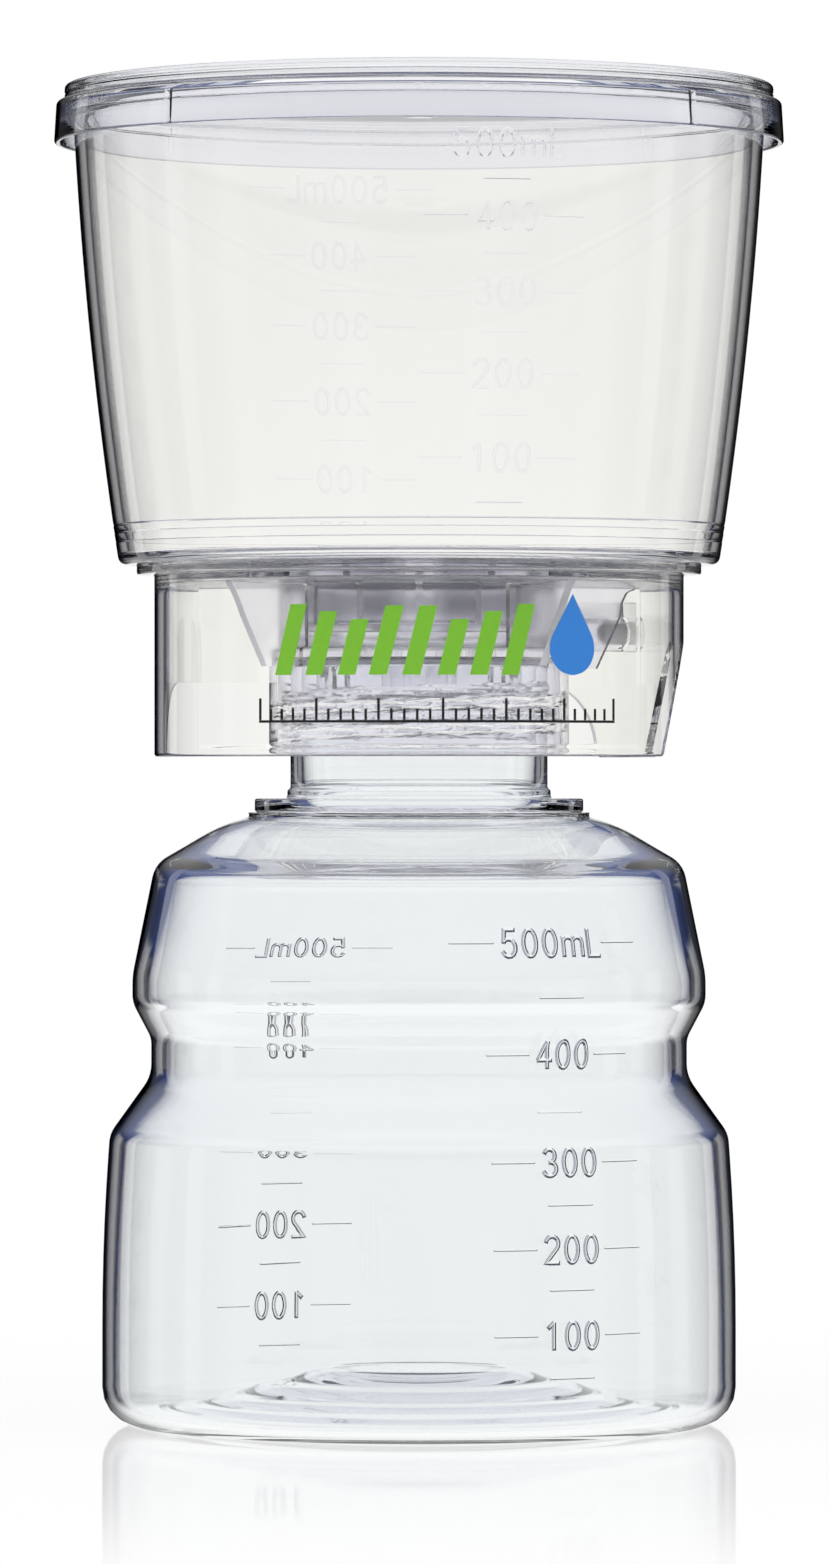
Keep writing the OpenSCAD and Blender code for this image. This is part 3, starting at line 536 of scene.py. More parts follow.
# The section through the moulding runs from the skirt's lower edge out and up to the plate, in over the
# channels between the plate's rings, down into the sump and the spout, over the drip ring and the collar,
# and back along the plate's underside
top_z, channel_z = plate_top - 0.02, 136.5
rings = [corner for outer_r, inner_r in ((41.7, 39.9), (37.7, 35.3), (33.7, 31.3), (29.7, 27.3),
                                         (25.7, 23.3), (21.7, 19.3))
         for corner in ((outer_r, top_z), (outer_r, channel_z), (inner_r, channel_z), (inner_r, top_z))]
outline = rounded([
    (skirt_bore, skirt_z, 0.5), (skirt_r, skirt_z, 0.5), (skirt_r, 135.3, 0.3), (plate_r, 135.3, 0.4),
    (plate_r, top_z, 0.3), *rings, (17.7, top_z, 0.3), (17.7, 127.0, 0.8), (4.6, 127.0, 0.6),
    (4.6, 116.8, 0.3), (6.0, 116.8, 0.3), (6.0, ceiling_z, 0.5), (15.1, ceiling_z, 0.4), (15.1, 116.8, 0.4),
    (16.4, 116.8, 0.4), (16.4, ceiling_z, 0.4), (collar_bore, ceiling_z, 0.5), (collar_bore, 106.6, 0.4),
    (23.9, 106.6, 0.4), (23.9, 123.5, 0.4), (22.8, 123.5, 0.4), (22.8, 134.4, 0.8),
    (skirt_bore, 134.4, 0.8),
], steps=3)
# Finer rows where the thread runs and along the chamber, and finer columns at the panel's two edges
outline = refined(np.vstack([outline, outline[:1]]), 4.0, [(107.0, 121.0, 0.33), (122.5, 134, 2.0)])[:-1]
panel_az, panel_half, edge_w = 270, 55, 0.3
angles = columns(2.0, [(s * panel_half + panel_az - edge_w, s * panel_half + panel_az + edge_w, 0.15)
                       for s in (-1, 1)])
R, Z = (np.repeat(outline[:, k : k + 1], len(angles), 1) for k in (0, 1))
in_collar = (np.abs(R - collar_bore) < 0.01) & (Z > 107.2) & (Z < 120.9)
R = R - np.where(in_collar, thread(angles, Z, thread_z, 180), 0)
# The raised panel: the skirt's radius grows by the panel's height inside the panel's four edges
across = np.clip((panel_half + 0.1 - np.abs(np.degrees(angles) - panel_az)) / 0.2, 0, 1)
up = np.clip((Z - 107.6) / 0.33, 0, 1) * np.clip((131.2 - Z) / 0.33, 0, 1)
R = R + np.where(np.abs(R - skirt_r) < 0.01, (panel_r - skirt_r) * up * across, 0)
shell = turned(R, Z, angles, loop=True)
chamber_r, chamber_low, chamber_high, sump_wall, sump_floor = 21.5, 123.5, 134.4, 19.0, 125.7
chamber = rounded([
    (6.0, chamber_low, 0.3), (chamber_r, chamber_low, 0.4), (chamber_r, chamber_high, 0.3),
    (sump_wall, chamber_high, 0.3), (sump_wall, sump_floor, 0.3), (6.0, sump_floor, 0.3),
], steps=3)[::-1]
coarse = columns(4.0)
R, Z = (np.repeat(chamber[:, k : k + 1], len(coarse), 1) for k in (0, 1))
cavity = turned(R, Z, coarse, loop=True)
filter_base = solid("base_moulding", *joined([shell, cavity]))
# Twelve fins in the sump, four struts under the plate and the nozzle
fin = [(5.6, 126.7), (18.0, 126.7), (18.0, plate_top - 0.05), (5.6, plate_top - 0.05)]
parts = [extruded(fin, 30 * k, 0.5) for k in range(12)]
strut_foot_r, strut_top_r, strut_low, strut_high = 30.8, 38.0, 120.5, 134.7
strut = [(collar_bore, ceiling_z), (23.5, strut_low), (strut_foot_r, strut_low),
         (strut_top_r, strut_high), (collar_bore, strut_high)]
parts += [extruded(strut, az, 0.75) for az in (21.5, 128.5, 218.5, 308.5)]
parts.append(rod([(21.8, port_r), (45.5, port_r), (45.9, 2.85), (46.0, 2.6)], port_az, port_z))
cut(filter_base, parts, "UNION")
# The grip arch on the right is a parabola. The cut at the back is low, with a window in its middle. All
# corners are quarter circles, and mm turn to degrees at the middle of the skirt's wall
mid_r, below_skirt = 41.4, skirt_z - 2
arch = np.linspace(-1.03, 1.03, 33)
arch_half, arch_h = 17, 18.6
parts = [slab(np.degrees(np.arcsin(arch_half / mid_r * arch)), skirt_z + arch_h * (1 - arch**2),
              below_skirt, 36, 45)]
quarter = np.radians(np.linspace(0, 90, 10))
end_r, low_z, end_from, end_to = 12.1, 118.4, 44, 181
window_az, window_half, window_h, window_r, jump = 110, 14.5, 10.6, 6, 0.03
end_az, corner_az = (np.degrees(r * a / mid_r) for r, a in ((end_r, np.sin(quarter)),
                                                            (window_r, 1 - np.cos(quarter))))
end_deg, half_deg = math.degrees(end_r / mid_r), math.degrees(window_half / mid_r)
az = np.concatenate([
    end_from + end_deg - end_az[::-1], [window_az - half_deg - jump], window_az - half_deg + corner_az,
    window_az + half_deg - corner_az[::-1], [window_az + half_deg + jump], end_to - end_deg + end_az])
end_z = low_z - end_r * (1 - np.cos(quarter))
corner_z = low_z + window_h - window_r * (1 - np.sin(quarter))
top = np.concatenate([end_z[::-1], [low_z], corner_z, corner_z[::-1], [low_z], end_z])
parts.append(slab(az, np.maximum(top, skirt_z - 1.9), below_skirt, 36, 45))
# The nozzle's bore, four vents through the ceiling, and six notches with round tops in the drip ring
parts.append(rod([(20.4, port_bore), (47, port_bore)], port_az, port_z))
vent_r, vent_at = 2.0, 10.55
for k in range(4):
    a = math.radians(45 + 90 * k)
    middle = (vent_at * math.cos(a), vent_at * math.sin(a))
    parts.append(rod([(0, vent_r), (3.5, vent_r)], None, 121.0, 24, middle))
notch_r, notch_z, notch_low = 2.1, 118.9, 115.5
for k in range(6):
    turn = np.radians(np.linspace(0, 180, 9))
    a = math.radians(30 + 60 * k)
    shape = [(-notch_r, notch_low), (notch_r, notch_low)]
    shape += [(notch_r * math.cos(t), notch_z + notch_r * math.sin(t)) for t in turn]
    verts = [np.array([r * math.cos(a) - s * math.sin(a), r * math.sin(a) + s * math.cos(a), z])
             for r in (13.1, 17.4) for s, z in shape]
    n = len(shape)
    parts.append((np.array(verts), [list(range(n))[::-1], list(range(n, 2 * n))]
                  + [[i, (i + 1) % n, n + (i + 1) % n, n + i] for i in range(n)]))
cut(filter_base, parts, "DIFFERENCE")
finish(filter_base)
# Clear polystyrene, injection moulded: a warm, nearly invisible skirt with a painted navy shade along its
# edges, around a slightly cloudy core, whose chamber is frosted
filter_base.data.materials.append(
    clear_plastic("clear polystyrene, skirt", "#fcfcf9", "#161c44", waves=30, depth=0.01, milky=39.5,
                  frosted=(39.3, 121.5)))
# Clear polystyrene, ground edges: the struts' slanting edges are rough from the tool, so that they
# scatter light and show as pale bands, and a grey-blue shade is painted where they are seen along their faces
ground = clear_plastic("clear polystyrene, ground edges", "#fbfbff", "#b4b8d0", waves=26, depth=0.01)
shader = ground.node_tree.nodes["Principled BSDF"]
shader.inputs["Roughness"].default_value = 0.45
shader.inputs["Transmission Weight"].default_value = 0.3
filter_base.data.materials.append(ground)
centre, r, normal, outward = facets(filter_base)
slack = 0.3
on_edge = (r > strut_foot_r - slack) & (r < strut_top_r + 0.2) & (outward > 0.5)
on_edge &= (centre[:, 2] > strut_low - 0.1) & (centre[:, 2] < strut_high - 0.4)
filter_base.data.polygons.foreach_set("material_index", on_edge.astype(np.int32))
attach(filter_base, "filter_head")
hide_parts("filter_base")

# ==== Membrane ====
# The filter itself: a thin white disc of microporous polymer that lies on the plate's rings and is
# held by its rim under the funnel's step.
low, high = (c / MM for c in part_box("membrane"))
under, over = low[2] + 0.02, high[2] - 0.04
angles = columns(2)
R, Z = (np.repeat(np.array(c)[:, None], len(angles), 1) for c in ((high[0], high[0]), (under, over)))
verts, faces = turned(R, Z, angles)
n = len(angles)
verts = np.vstack([verts, [[0, 0, under], [0, 0, over]]])
membrane = solid("filter_membrane", verts, faces + fan(0, n, 2 * n, flip=True) + fan(n, n, 2 * n + 1))
# Microporous membrane, cast: matt white with a soft grain. Its pores are under a thousandth of a
# millimetre, so the grain is drawn at 0.4 mm
porous = bpy.data.materials.new("microporous membrane")
porous.use_nodes = True
tree = porous.node_tree
shader = tree.nodes["Principled BSDF"]
shader.inputs["Base Color"].default_value = linear("#f1f0f4")
shader.inputs["Roughness"].default_value = 0.8
where = add(tree, "TexCoord")
pores = add(tree, "TexNoise", {"Scale": 1 / (0.4 * MM), "Detail": 3.0}, {"Vector": where.outputs["Object"]})
bump = add(tree, "Bump", {"Strength": 0.4, "Distance": 0.02 * MM}, {"Height": pores.outputs["Fac"]})
tree.links.new(bump.outputs[0], shader.inputs["Normal"])
membrane.data.materials.append(porous)
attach(membrane, "filter_head")
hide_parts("membrane")

# ==== Cotton plug ====
# A short roll of white cotton pushed into the vacuum port's nozzle, which keeps the vacuum line clean.
# Its ends are domed and loose.
profile = [(36.4, 0.9), (36.6, 1.5), (37.0, 1.82), (44.6, 1.82), (45.0, 1.5), (45.2, 0.9)]
plug = solid("cotton_plug", *rod(profile, port_az, port_z, 24), sharp=80)
# Cotton wool, carded and rolled: matt white with loose tufts. Its fibres are 0.02 mm thick, too fine to
# show, so the tufts are drawn at 0.7 mm
wool = bpy.data.materials.new("cotton wool")
wool.use_nodes = True
tree = wool.node_tree
shader = tree.nodes["Principled BSDF"]
shader.inputs["Base Color"].default_value = linear("#f4f3f1")
shader.inputs["Roughness"].default_value = 0.95
where = add(tree, "TexCoord")
tufts = add(tree, "TexNoise", {"Scale": 1 / (0.7 * MM), "Detail": 5.0, "Distortion": 1.2},
            {"Vector": where.outputs["Object"]})
bump = add(tree, "Bump", {"Strength": 0.8, "Distance": 0.15 * MM}, {"Height": tufts.outputs["Fac"]})
tree.links.new(bump.outputs[0], shader.inputs["Normal"])
plug.data.materials.append(wool)
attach(plug, "filter_head")
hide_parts("port_plug")

# ==== Funnel ====
# One injection moulding of clear polystyrene: a bowed wall between a foot that hangs over the plate's
# edge and a rim with a thin flange, three fine grooves above the foot, a step that clamps the membrane,
# and a faint scale on the front and the back.
low, high = (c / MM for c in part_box("funnel"))
foot_z, rim_z, flange_r = low[2], high[2], high[0]
foot_r, mouth_r, foot_bore, funnel_wall, flange_t = 47.8, 55.1, 45.1, 1.6, 1.4
step_low, step_high, step_bore, rim_gap = 137.7, 138.7, 43.5, 0.03
flange_z, bow = rim_z - flange_t, 0.9


def bowed(a, b, sag, n=20):
    """A stretch from a to b that bows outward by sag in its middle: 4 sag t (1 - t) beside the line."""
    a, b, t = np.array(a), np.array(b), np.linspace(0, 1, n + 1)[:, None]
    d = (b - a) / np.linalg.norm(b - a)
    return a + (b - a) * t - 4 * sag * t * (1 - t) * np.array([-d[1], d[0]])


wall = bowed((foot_r, foot_z), (mouth_r, flange_z), bow)
# Three fine grooves, each with its height above the foot and its depth
outside, groove_half = list(wall[1:]), 0.15
for z, depth in ((3.6, 0.05), (5.1, 0.05), (6.3, 0.1)):
    t = z / (flange_z - foot_z)
    r = foot_r + (mouth_r - foot_r) * t + 4 * bow * t * (1 - t)
    outside += [np.array([r + d, foot_z + z + h])
                for h, d in ((-groove_half, 0), (0, -depth), (groove_half, 0))]
outside = sorted(outside, key=lambda p: p[1])
foot = rounded([(foot_bore, foot_z + rim_gap), (foot_r, foot_z + rim_gap, 1.5), outside[0]])
rim = rounded([
    outside[-2], (mouth_r, flange_z, 0.5), (flange_r, flange_z, 0.3), (flange_r, rim_z - rim_gap, 0.3),
    (mouth_r - funnel_wall, rim_z - rim_gap)])[1:-1]
bore = inset(wall, funnel_wall)[::-1]
step_r = np.interp(step_high, bore[::-1, 1], bore[::-1, 0])
step = rounded([
    bore[-2], (step_r, step_high, 0.4), (step_bore, step_high, 0.3), (step_bore, step_low, 0.2),
    (foot_bore, step_low), (foot_bore, foot_z + rim_gap)])[1:]
funnel_marks = [
    (145.3, "", 14.5), (152.2, "100", 14.5), (158.7, "", 14.5), (165.1, "200", 14.5), (171.4, "", 14.5),
    (177.6, "300", 14.5), (183.5, "", 14.5), (189.3, "400", 14.5), (194.9, "", 14.5),
    (200.4, "500mL", 14.5),
]
angles = columns(2.0, [(s - 2, s + 30, 1.0) for s in (back, front)])
keep = list(range(0, len(angles), 2))
out = refined(np.vstack([foot[1:-1], outside[:-1], rim]), 2.4)
inn = refined(np.vstack([[(mouth_r - funnel_wall, rim_z - rim_gap)], bore[1:-1], step]), 2.4)
R, Z = (np.repeat(out[:, k : k + 1], len(angles), 1) for k in (0, 1))
outer, faces = turned(R, Z, angles)
n_out = len(outer)
R, Z = (np.repeat(inn[:, k : k + 1], len(keep), 1) for k in (0, 1))
inner, more = turned(R, Z, angles[keep], n_out)
faces += more + bridge(n_out - len(angles), len(angles), n_out, keep)
faces += bridge(0, len(angles), n_out + len(inner) - len(keep), keep, flip=True)
funnel = solid("funnel_moulding", np.vstack([outer, inner]), faces)
side = out[(out[:, 1] > foot_z + 2) & (out[:, 1] < rim_z - 2)]
scaled(funnel, side, funnel_marks, (back, front), height=4.2, tick=6.6, width=0.6, flank=0.25, stand=0.065)
finish(funnel, 9)
# Clear polystyrene, injection moulded: the clearest wall of the unit, a little warm, with a painted, nearly
# black shade along its edges. Its scale is so low that its flanks get a painted shade only a little greyer
# than the wall
for name, tint in (("clear polystyrene, funnel", "#fdfdfb"), ("clear polystyrene, funnel scale, painted shade", "#e9eaec")):
    funnel.data.materials.append(clear_plastic(name, tint, "#10121e", waves=34, depth=0.01))
paint_shade_on_flanks(funnel, side, funnel_marks, lean=8, turned_away=-2)
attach(funnel, "filter_head")
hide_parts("funnel")

# ==== Lid ====
# One injection moulding of clear polystyrene that lies loosely on the funnel's rim: a panel that drops
# into the mouth, a skirt with four centring ribs, and a grooved rim on which another unit stacks. The
# moulding gate leaves a round mark under the middle of the panel.
low, high = (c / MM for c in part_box("lid"))
lid_foot, lid_top, lid_gap = low[2], high[2], 0.02
panel_low, panel_high, panel_edge, gate_r, gate_z = 209.1, 210.6, 52.7, 2.5, 208.42
groove_r, stack_bore = 56.5, 53.5
section = rounded([
    (0, gate_z), (gate_r, gate_z, 0.35), (gate_r, panel_low, 0.2), (panel_edge, panel_low, 0.3),
    (panel_edge, rim_z + lid_gap, 0.2), (56.8, rim_z + lid_gap, 0.4), (57.2, lid_foot + lid_gap, 0.3),
    (58.18, lid_foot + lid_gap, 0.4), (57.8, 210.5, 0.7), (groove_r, 210.7, 0.3), (groove_r, 211.55, 0.1),
    (56.2, 211.85, 0.1), (groove_r, 212.15, 0.1), (groove_r, lid_top, 0.6), (stack_bore, lid_top, 0.6),
    (stack_bore, panel_high, 0.6), (0, panel_high),
], steps=4)
section = refined(section[1:-1], 4.0)
rib_az = [47.5 + 90 * k for k in range(4)]
angles = columns(2.0, [(a - 1.2, a + 1.2, 0.1) for a in rib_az])
R, Z = (np.repeat(section[:, k : k + 1], len(angles), 1) for k in (0, 1))
# A rib is the part of a rod that stands out of the skirt's inside: sqrt(rod^2 - distance^2) - depth. It
# stops short of the skirt's foot and of the rim
skirt_in, rod_r, sunk_in = 57, 1.2, 0.9
across = np.min([np.abs(np.degrees(angles) - a) for a in rib_az], 0) * math.pi / 180 * skirt_in
rib = np.sqrt(np.clip(rod_r**2 - across**2, 0, None)) - sunk_in
on_skirt = (R > 56.5) & (R < 57.3) & (Z > lid_foot + 0.5) & (Z < rim_z - 0.2)
R = np.where(on_skirt, R - np.clip(rib, 0, None), R)
verts, faces = turned(R, Z, angles)
n = len(angles)
verts = np.vstack([verts, [[0, 0, gate_z], [0, 0, panel_high]]])
faces += fan(0, n, len(verts) - 2, flip=True) + fan(len(verts) - 2 - n, n, len(verts) - 1)
lid = solid("lid_moulding", verts, faces)
# Clear polystyrene, injection moulded: a colourless panel with long, faint ripples and a painted dark blue
# shade along its edges
lid.data.materials.append(clear_plastic("clear polystyrene, lid", "#fafbfc", "#12142a", waves=40, depth=0.01))
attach(lid, "lid")
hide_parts("lid")

# ==== Label ====
# Printed on the skirt's raised panel in three inks: a row of leaning green strokes that step down and
# up, a blue drop beside them, and a black rule with ticks below. The ink is a thin, slightly glossy film.
label_az, stroke_foot = 275.0, 118.9


def printed(name, shapes, node, hexcode):
    """Closed films on the panel: each shape is (u, z), two grids of the distance around the panel from
    the label's middle and of the height, bent to the angle u / panel_r. The film is an eighth of a
    millimetre thick and starts just above the panel."""
    parts = []
    for u, z in shapes:
        a = math.radians(label_az) + u / panel_r
        m, n = u.shape
        verts = np.vstack([np.stack([r * np.cos(a), r * np.sin(a), z], -1).reshape(-1, 3)
                           for r in (panel_r + 0.015, panel_r + 0.14)])
        i, j = (g.ravel() for g in np.meshgrid(np.arange(m - 1), np.arange(n - 1), indexing="ij"))
        cells = np.stack([i * n + j, i * n + j + 1, (i + 1) * n + j + 1, (i + 1) * n + j], 1)
        edge = (list(range(n)) + [i * n + n - 1 for i in range(1, m)]
                + [(m - 1) * n + j for j in range(n - 2, -1, -1)] + [i * n for i in range(m - 2, 0, -1)])
        faces = (cells + m * n).tolist() + cells[:, ::-1].tolist()
        faces += [[a0, b0, b0 + m * n, a0 + m * n] for a0, b0 in zip(edge, edge[1:] + edge[:1])]
        parts.append((verts, faces))
    obj = solid(name, *joined(parts))
    # Screen-printed ink, cured: an opaque, slightly glossy film, mottled by the screen in colour and
    # gloss. The mesh of a screen is 0.1 mm, too fine to show, so the mottle is drawn at 0.6 mm
    ink = bpy.data.materials.new(name.replace("_", " ") + " ink")
    ink.use_nodes = True
    tree = ink.node_tree
    shader = tree.nodes["Principled BSDF"]
    thin, thick = ([min(1.0, k * c) for c in linear(hexcode)[:3]] + [1.0] for k in (0.94, 1.06))
    where = add(tree, "TexCoord")
    mottle = add(tree, "TexNoise", {"Scale": 1 / (0.6 * MM), "Detail": 2.0},
                 {"Vector": where.outputs["Object"]})
    tone = add(tree, "Mix", {"data_type": "RGBA", 6: thin, 7: thick}, {0: mottle.outputs["Fac"]})
    tree.links.new(tone.outputs[2], shader.inputs["Base Color"])
    rough = add(tree, "MapRange", {"To Min": 0.34, "To Max": 0.46}, {"Value": mottle.outputs["Fac"]})
    tree.links.new(rough.outputs[0], shader.inputs["Roughness"])
    obj.data.materials.append(ink)
    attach(obj, "filter_head")
    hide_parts(node)


# Eight strokes that lean by 14 degrees. Their height goes down and up twice, as |cos|, between 0.72 and
# all of the tallest
stroke_count, pitch, stroke_w, tall, lean = 8, 5.2, 2.8, 11.0, math.radians(14)
drop_r, drop_h, drop_gap = 4.2, 12.6, 4
label_w = (stroke_count - 1) * pitch + stroke_w + drop_gap + 2 * drop_r
shapes = []
for k in range(stroke_count):
    h = tall * (0.72 + 0.28 * abs(math.cos(k * 2 * math.pi / (stroke_count - 1))))
    s, t = np.meshgrid(np.linspace(-0.5, 0.5, 5), np.linspace(0, 1, 7))
    shapes.append((k * pitch + stroke_w / 2 - label_w / 2 + s * stroke_w + (t - 0.5) * h * math.tan(lean),
                   stroke_foot + t * h))
printed("green_strokes", shapes, "label_strokes", "#76b82a")
# The drop: a circle, and from half its radius above its centre a point with an angle of 60 degrees
z_drop = stroke_foot + drop_h * np.linspace(0.001, 0.999, 41)
h = z_drop - stroke_foot - drop_r
half_w = np.where(h < drop_r / 2, np.sqrt(np.clip(drop_r**2 - h * h, 0, None)),
                  (2 * drop_r - h) * math.tan(math.radians(30)))
s = np.linspace(-1, 1, 13)
shapes = [(label_w / 2 - drop_r + half_w[:, None] * s[None, :], np.repeat(z_drop[:, None], len(s), 1))]
printed("blue_drop", shapes, "label_drop", "#2f7fd0")
# The rule: a line with a tick every 2 mm, every fifth of them long
rule_z, span, line_w = 111.7, 60.0, 0.4
tick_count, tick_pitch, tick_foot, tick_long, tick_short = 31, 2, 0.22, 3.6, 1.98
s, t = np.meshgrid(np.linspace(-0.5, 0.5, 61), [0, 1])
shapes = [(s * (span + line_w), rule_z - line_w / 2 + line_w * t)]
for k in range(tick_count):
    s, t = np.meshgrid([-0.5, 0.5], [0, 1])
    shapes.append((k * tick_pitch - span / 2 + s * line_w,
                   rule_z + tick_foot + t * ((tick_long if k % 5 == 0 else tick_short) - tick_foot)))
printed("black_rule", shapes, "label_rule", "#17171a")

# ==== Floor ====
# A pale glossy sheet under the unit. It keeps a soft shadow and a faint reflection near the standing
# ring, and fades into the white background further out.
floor_r, floor_z, floor_sides = 700, -0.03, 96
at = np.linspace(0, 2 * math.pi, floor_sides, endpoint=False)
verts = np.vstack([
    np.stack([floor_r * np.cos(at), floor_r * np.sin(at), np.full(floor_sides, floor_z)], 1),
    [[0, 0, floor_z]]])
floor = solid("floor", verts, fan(0, floor_sides, floor_sides))
# Pale acrylic sheet: a sharp reflection over a matt white, lifted by the white glow of the background,
# which takes over wholly between 90 and 300 mm from the axis
acrylic = bpy.data.materials.new("pale acrylic sheet")
acrylic.use_nodes = True
tree = acrylic.node_tree
tree.nodes.clear()
where = add(tree, "TexCoord")
from_axis = add(tree, "VectorMath", {"operation": "LENGTH"}, {0: where.outputs["Object"]})
far = add(tree, "MapRange", {"From Min": 0.09, "From Max": 0.30, "interpolation_type": "SMOOTHSTEP"},
          {"Value": from_axis.outputs["Value"]})
matt = add(tree, "BsdfDiffuse", {"Color": linear("#fdfdfd")})
mirror = add(tree, "BsdfGlossy", {"Color": (1, 1, 1, 1), "Roughness": 0.05})
sheet = add(tree, "MixShader", {0: 0.75}, {1: matt.outputs[0], 2: mirror.outputs[0]})
white = add(tree, "Emission", {"Color": (1, 1, 1, 1), "Strength": 1.0})
lit = add(tree, "MixShader", {0: 0.6}, {1: sheet.outputs[0], 2: white.outputs[0]})
faded = add(tree, "MixShader", {}, {0: far.outputs[0], 1: lit.outputs[0], 2: white.outputs[0]})
add(tree, "OutputMaterial", {}, {"Surface": faded.outputs[0]})
floor.data.materials.append(acrylic)
floor.visible_transmission = floor.visible_glossy = False

# ==== Light ====
# A white studio. The camera sees pure white, and so do the clear walls, but for the dark that draws
# their edges. What mirrors sees bright panels in a dim room, and matt surfaces see an even, cool white.
# Two large soft boxes light the inks and the floor.
world = bpy.data.worlds.new("studio")
bpy.context.scene.world = world
world.use_nodes = True
tree = world.node_tree
tree.nodes.clear()
smooth = {"interpolation_type": "SMOOTHSTEP"}
ray = add(tree, "LightPath")
where = add(tree, "TexCoord")
split = add(tree, "SeparateXYZ", {}, {0: where.outputs["Generated"]})
# A wave with eight crests around the room, one of them straight behind the unit
azimuth = add(tree, "Math", {"operation": "ARCTAN2"}, {0: split.outputs["X"], 1: split.outputs["Y"]})
eight = add(tree, "Math", {"operation": "MULTIPLY", 1: 8.0}, {0: azimuth.outputs[0]})
wave = add(tree, "Math", {"operation": "COSINE"}, {0: eight.outputs[0]})
# Flags, which only a ray sees that has bounced inside one wall: darker behind the unit than before it,
# paler in the wave's troughs, and none of them low down
one_wall = add(tree, "Math", {"operation": "LESS_THAN", 1: 2.5}, {0: ray.outputs["Transmission Depth"]})
bounced = add(tree, "Math", {"operation": "GREATER_THAN", 1: 0.5}, {0: ray.outputs["Glossy Depth"]})
in_wall = add(tree, "Math", {"operation": "MULTIPLY"}, {0: one_wall.outputs[0], 1: bounced.outputs[0]})
crest_to_trough = add(tree, "MapRange", {**smooth, "From Min": -0.98, "From Max": -0.5,
                                         "To Min": 0.45, "To Max": 0.98}, {"Value": wave.outputs[0]})
all_round = add(tree, "Math", {"operation": "MULTIPLY"},
                {0: in_wall.outputs[0], 1: crest_to_trough.outputs[0]})
behind = add(tree, "MapRange", {"From Min": -0.4, "From Max": 0.3}, {"Value": split.outputs["Y"]})
by_side = add(tree, "MapRange", {"To Min": 0.3, "To Max": 1.0}, {"Value": behind.outputs[0]})
not_low = add(tree, "MapRange", {"From Min": -0.35, "From Max": -0.2}, {"Value": split.outputs["Z"]})
rear_flags = add(tree, "Math", {"operation": "MULTIPLY"}, {0: all_round.outputs[0], 1: by_side.outputs[0]})
flags = add(tree, "Math", {"operation": "MULTIPLY"}, {0: rear_flags.outputs[0], 1: not_low.outputs[0]})
# The dark above, which begins lower for a ray that has bounced inside one wall
overhead = add(tree, "MapRange", {**smooth, "From Min": 0.26, "From Max": 0.38,
                                  "To Min": 0.0, "To Max": 0.45}, {"Value": split.outputs["Z"]})
rising = add(tree, "MapRange", {**smooth, "From Min": 0.09, "From Max": 0.19,
                                "To Min": 0.0, "To Max": 0.97}, {"Value": split.outputs["Z"]})
rising_in_wall = add(tree, "Math", {"operation": "MULTIPLY"}, {0: rising.outputs[0], 1: in_wall.outputs[0]})
upward = add(tree, "Math", {"operation": "MAXIMUM"}, {0: overhead.outputs[0], 1: rising_in_wall.outputs[0]})
# Both fade for a ray that has come through many walls: it sees a lilac white. The dark is navy, and
# bluer higher up
dark_parts = add(tree, "Math", {"operation": "MAXIMUM"}, {0: flags.outputs[0], 1: upward.outputs[0]})
deep = add(tree, "MapRange", {"From Min": 4.5, "From Max": 7.0}, {"Value": ray.outputs["Transmission Depth"]})
few_walls = add(tree, "Math", {"operation": "SUBTRACT", 0: 1.0}, {1: deep.outputs[0]})
dark = add(tree, "Math", {"operation": "MULTIPLY"}, {0: dark_parts.outputs[0], 1: few_walls.outputs[0]})
backdrop = add(tree, "Mix", {"data_type": "RGBA", 6: (1, 1, 1, 1), 7: linear("#f3f1fb")},
               {0: deep.outputs[0]})
high_up = add(tree, "MapRange", {"From Min": 0.08, "From Max": 0.28}, {"Value": split.outputs["Z"]})
navy = add(tree, "Mix", {"data_type": "RGBA", 6: linear("#10142c"), 7: linear("#26407e")},
           {0: high_up.outputs[0]})
through = add(tree, "Mix", {"data_type": "RGBA"},
              {0: dark.outputs[0], 6: backdrop.outputs[2], 7: navy.outputs[2]})
# The wave's crests are a little dimmer on the level of the unit
crests = add(tree, "MapRange", {**smooth, "From Min": 0.5, "From Max": 0.95}, {"Value": wave.outputs[0]})
slope = add(tree, "Math", {"operation": "ABSOLUTE"}, {0: split.outputs["Z"]})
level_on = add(tree, "MapRange", {**smooth, "From Min": 0.14, "From Max": 0.06}, {"Value": slope.outputs[0]})
dimmer = add(tree, "Math", {"operation": "MULTIPLY"}, {0: crests.outputs[0], 1: level_on.outputs[0]})
glow = add(tree, "MapRange", {"To Min": 1.0, "To Max": 0.95}, {"Value": dimmer.outputs[0]})
seen_through = add(tree, "Background", {}, {"Color": through.outputs[2], "Strength": glow.outputs[0]})
# What mirrors sees: upright panels on the crests behind the unit, faint clouds, the bright ceiling and
# floor, and a glow for a ray that is trapped behind many walls
panel_width = add(tree, "MapRange", {"From Min": 0.75, "From Max": 0.9}, {"Value": wave.outputs[0]})
panels = add(tree, "Math", {"operation": "MULTIPLY"}, {0: panel_width.outputs[0], 1: behind.outputs[0]})
clouds = add(tree, "TexNoise", {"Scale": 2.2, "Detail": 1.0}, {"Vector": where.outputs["Generated"]})
room = add(tree, "MapRange", {"From Min": 0.42, "From Max": 0.62, "To Min": 0.0, "To Max": 0.1},
           {"Value": clouds.outputs["Fac"]})
ceiling = add(tree, "MapRange", {"From Min": 0.15, "From Max": 0.45, "To Min": 0.0, "To Max": 1.0},
              {"Value": split.outputs["Z"]})
bright_floor = add(tree, "MapRange", {"From Min": -0.12, "From Max": -0.3, "To Min": 0.0, "To Max": 0.8},
                   {"Value": split.outputs["Z"]})
trapped = add(tree, "Math", {"operation": "MULTIPLY", 1: 0.85}, {0: deep.outputs[0]})
walls = add(tree, "Math", {"operation": "MAXIMUM"}, {0: panels.outputs[0], 1: room.outputs[0]})
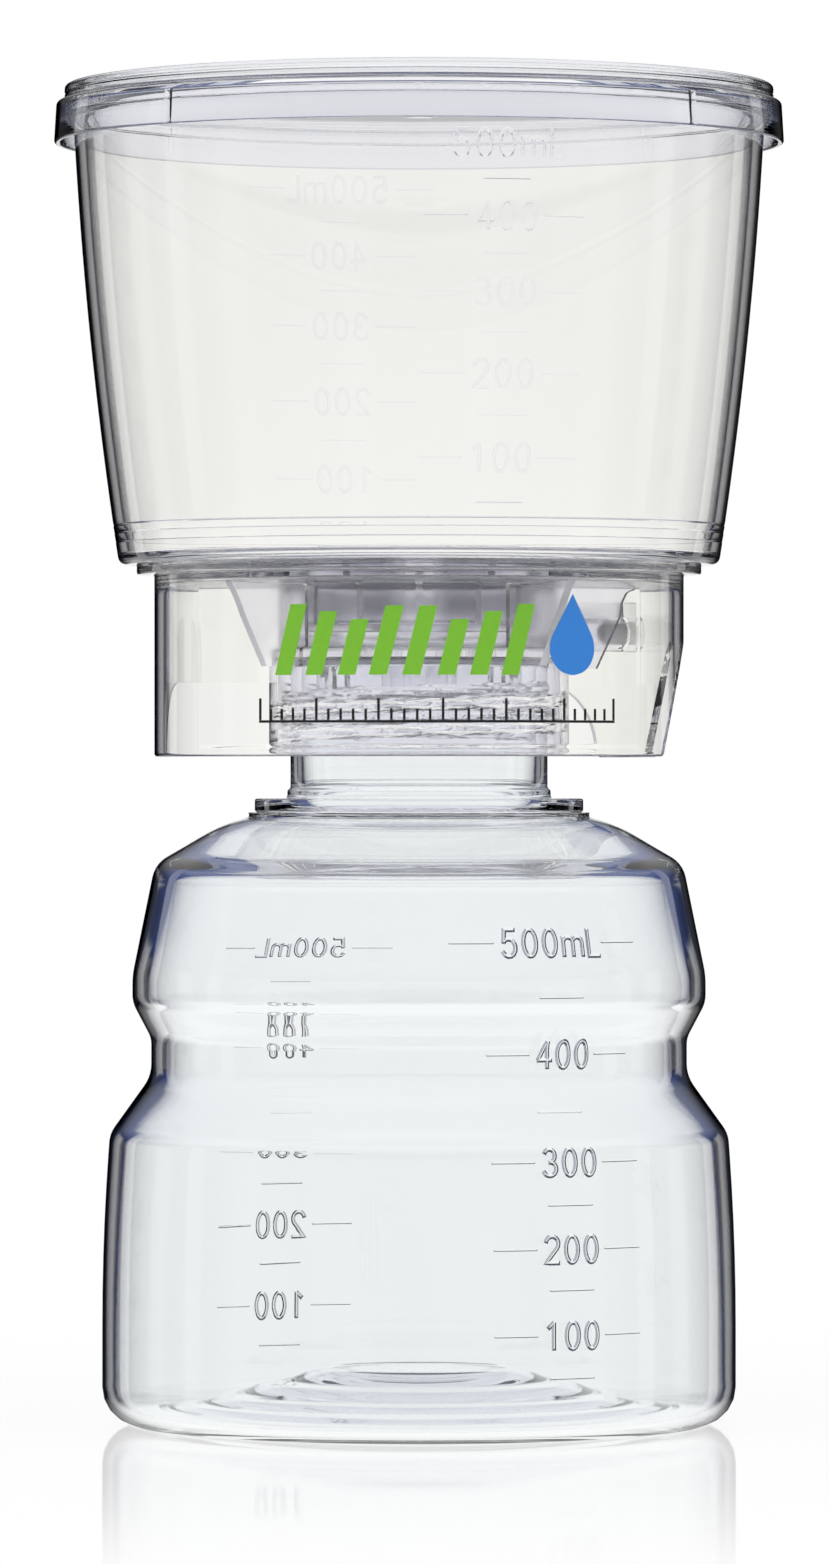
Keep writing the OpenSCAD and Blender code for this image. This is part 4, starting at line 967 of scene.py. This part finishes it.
upper = add(tree, "Math", {"operation": "MAXIMUM"}, {0: walls.outputs[0], 1: ceiling.outputs[0]})
whole = add(tree, "Math", {"operation": "MAXIMUM"}, {0: upper.outputs[0], 1: bright_floor.outputs[0]})
shine = add(tree, "Math", {"operation": "MAXIMUM"}, {0: whole.outputs[0], 1: trapped.outputs[0]})
mirrored = add(tree, "Background", {"Color": (1, 1, 1, 1)}, {"Strength": shine.outputs[0]})
# What matt surfaces see, brighter through a clear wall, and what the camera sees
soft_level = add(tree, "MapRange", {"To Min": 0.9, "To Max": 1.7},
                 {"Value": ray.outputs["Is Transmission Ray"]})
soft = add(tree, "Background", {"Color": linear("#e9ebf2")}, {"Strength": soft_level.outputs[0]})
bright = add(tree, "Background", {"Color": (1, 1, 1, 1), "Strength": 1.0})
after_matt = add(tree, "Math", {"operation": "GREATER_THAN", 1: 0.5}, {0: ray.outputs["Diffuse Depth"]})
glossy = add(tree, "MixShader", {},
             {0: ray.outputs["Is Glossy Ray"], 1: soft.outputs[0], 2: mirrored.outputs[0]})
glassy = add(tree, "MixShader", {},
             {0: ray.outputs["Is Transmission Ray"], 1: glossy.outputs[0], 2: seen_through.outputs[0]})
diffuse = add(tree, "MixShader", {}, {0: after_matt.outputs[0], 1: glassy.outputs[0], 2: soft.outputs[0]})
studio = add(tree, "MixShader", {},
             {0: ray.outputs["Is Camera Ray"], 1: diffuse.outputs[0], 2: bright.outputs[0]})
add(tree, "OutputWorld", {}, {"Surface": studio.outputs[0]})


def soft_box(name, place, target, size, watts):
    """A square area light that faces the target, in metres. Nothing mirrors it or shows it through."""
    data = bpy.data.lights.new(name, "AREA")
    data.shape, data.size, data.energy = "SQUARE", size, watts
    obj = bpy.data.objects.new(name, data)
    bpy.context.scene.collection.objects.link(obj)
    obj.location = place
    obj.rotation_euler = (Vector(target) - Vector(place)).to_track_quat("-Z", "Y").to_euler()
    obj.visible_glossy = obj.visible_transmission = False


soft_box("left box", (-1.3, -1.0, 0.9), target=(0, 0, 0.1), size=0.9, watts=9)
soft_box("right box", (1.4, -0.8, 1.0), target=(0, 0, 0.1), size=0.9, watts=7)

# ==== Camera ====
# Level with the collar, 1.36 m before the unit so that the ellipses stay flat, with a long lens.
eye = bpy.data.cameras.new("camera")
eye.lens, eye.sensor_width, eye.clip_end = 196.7, 36, 20
camera = bpy.data.objects.new("camera", eye)
bpy.context.scene.collection.objects.link(camera)
camera.location = (-0.0008, -1.363, 0.1023)
camera.rotation_euler = (math.pi / 2, 0, 0)
scene = bpy.context.scene
scene.camera = camera
scene.view_settings.view_transform = "Standard"
# Enough bounces for a ray to come through all the walls in its way
scene.cycles.max_bounces = 24
scene.cycles.transmission_bounces = 24
scene.cycles.glossy_bounces = 12
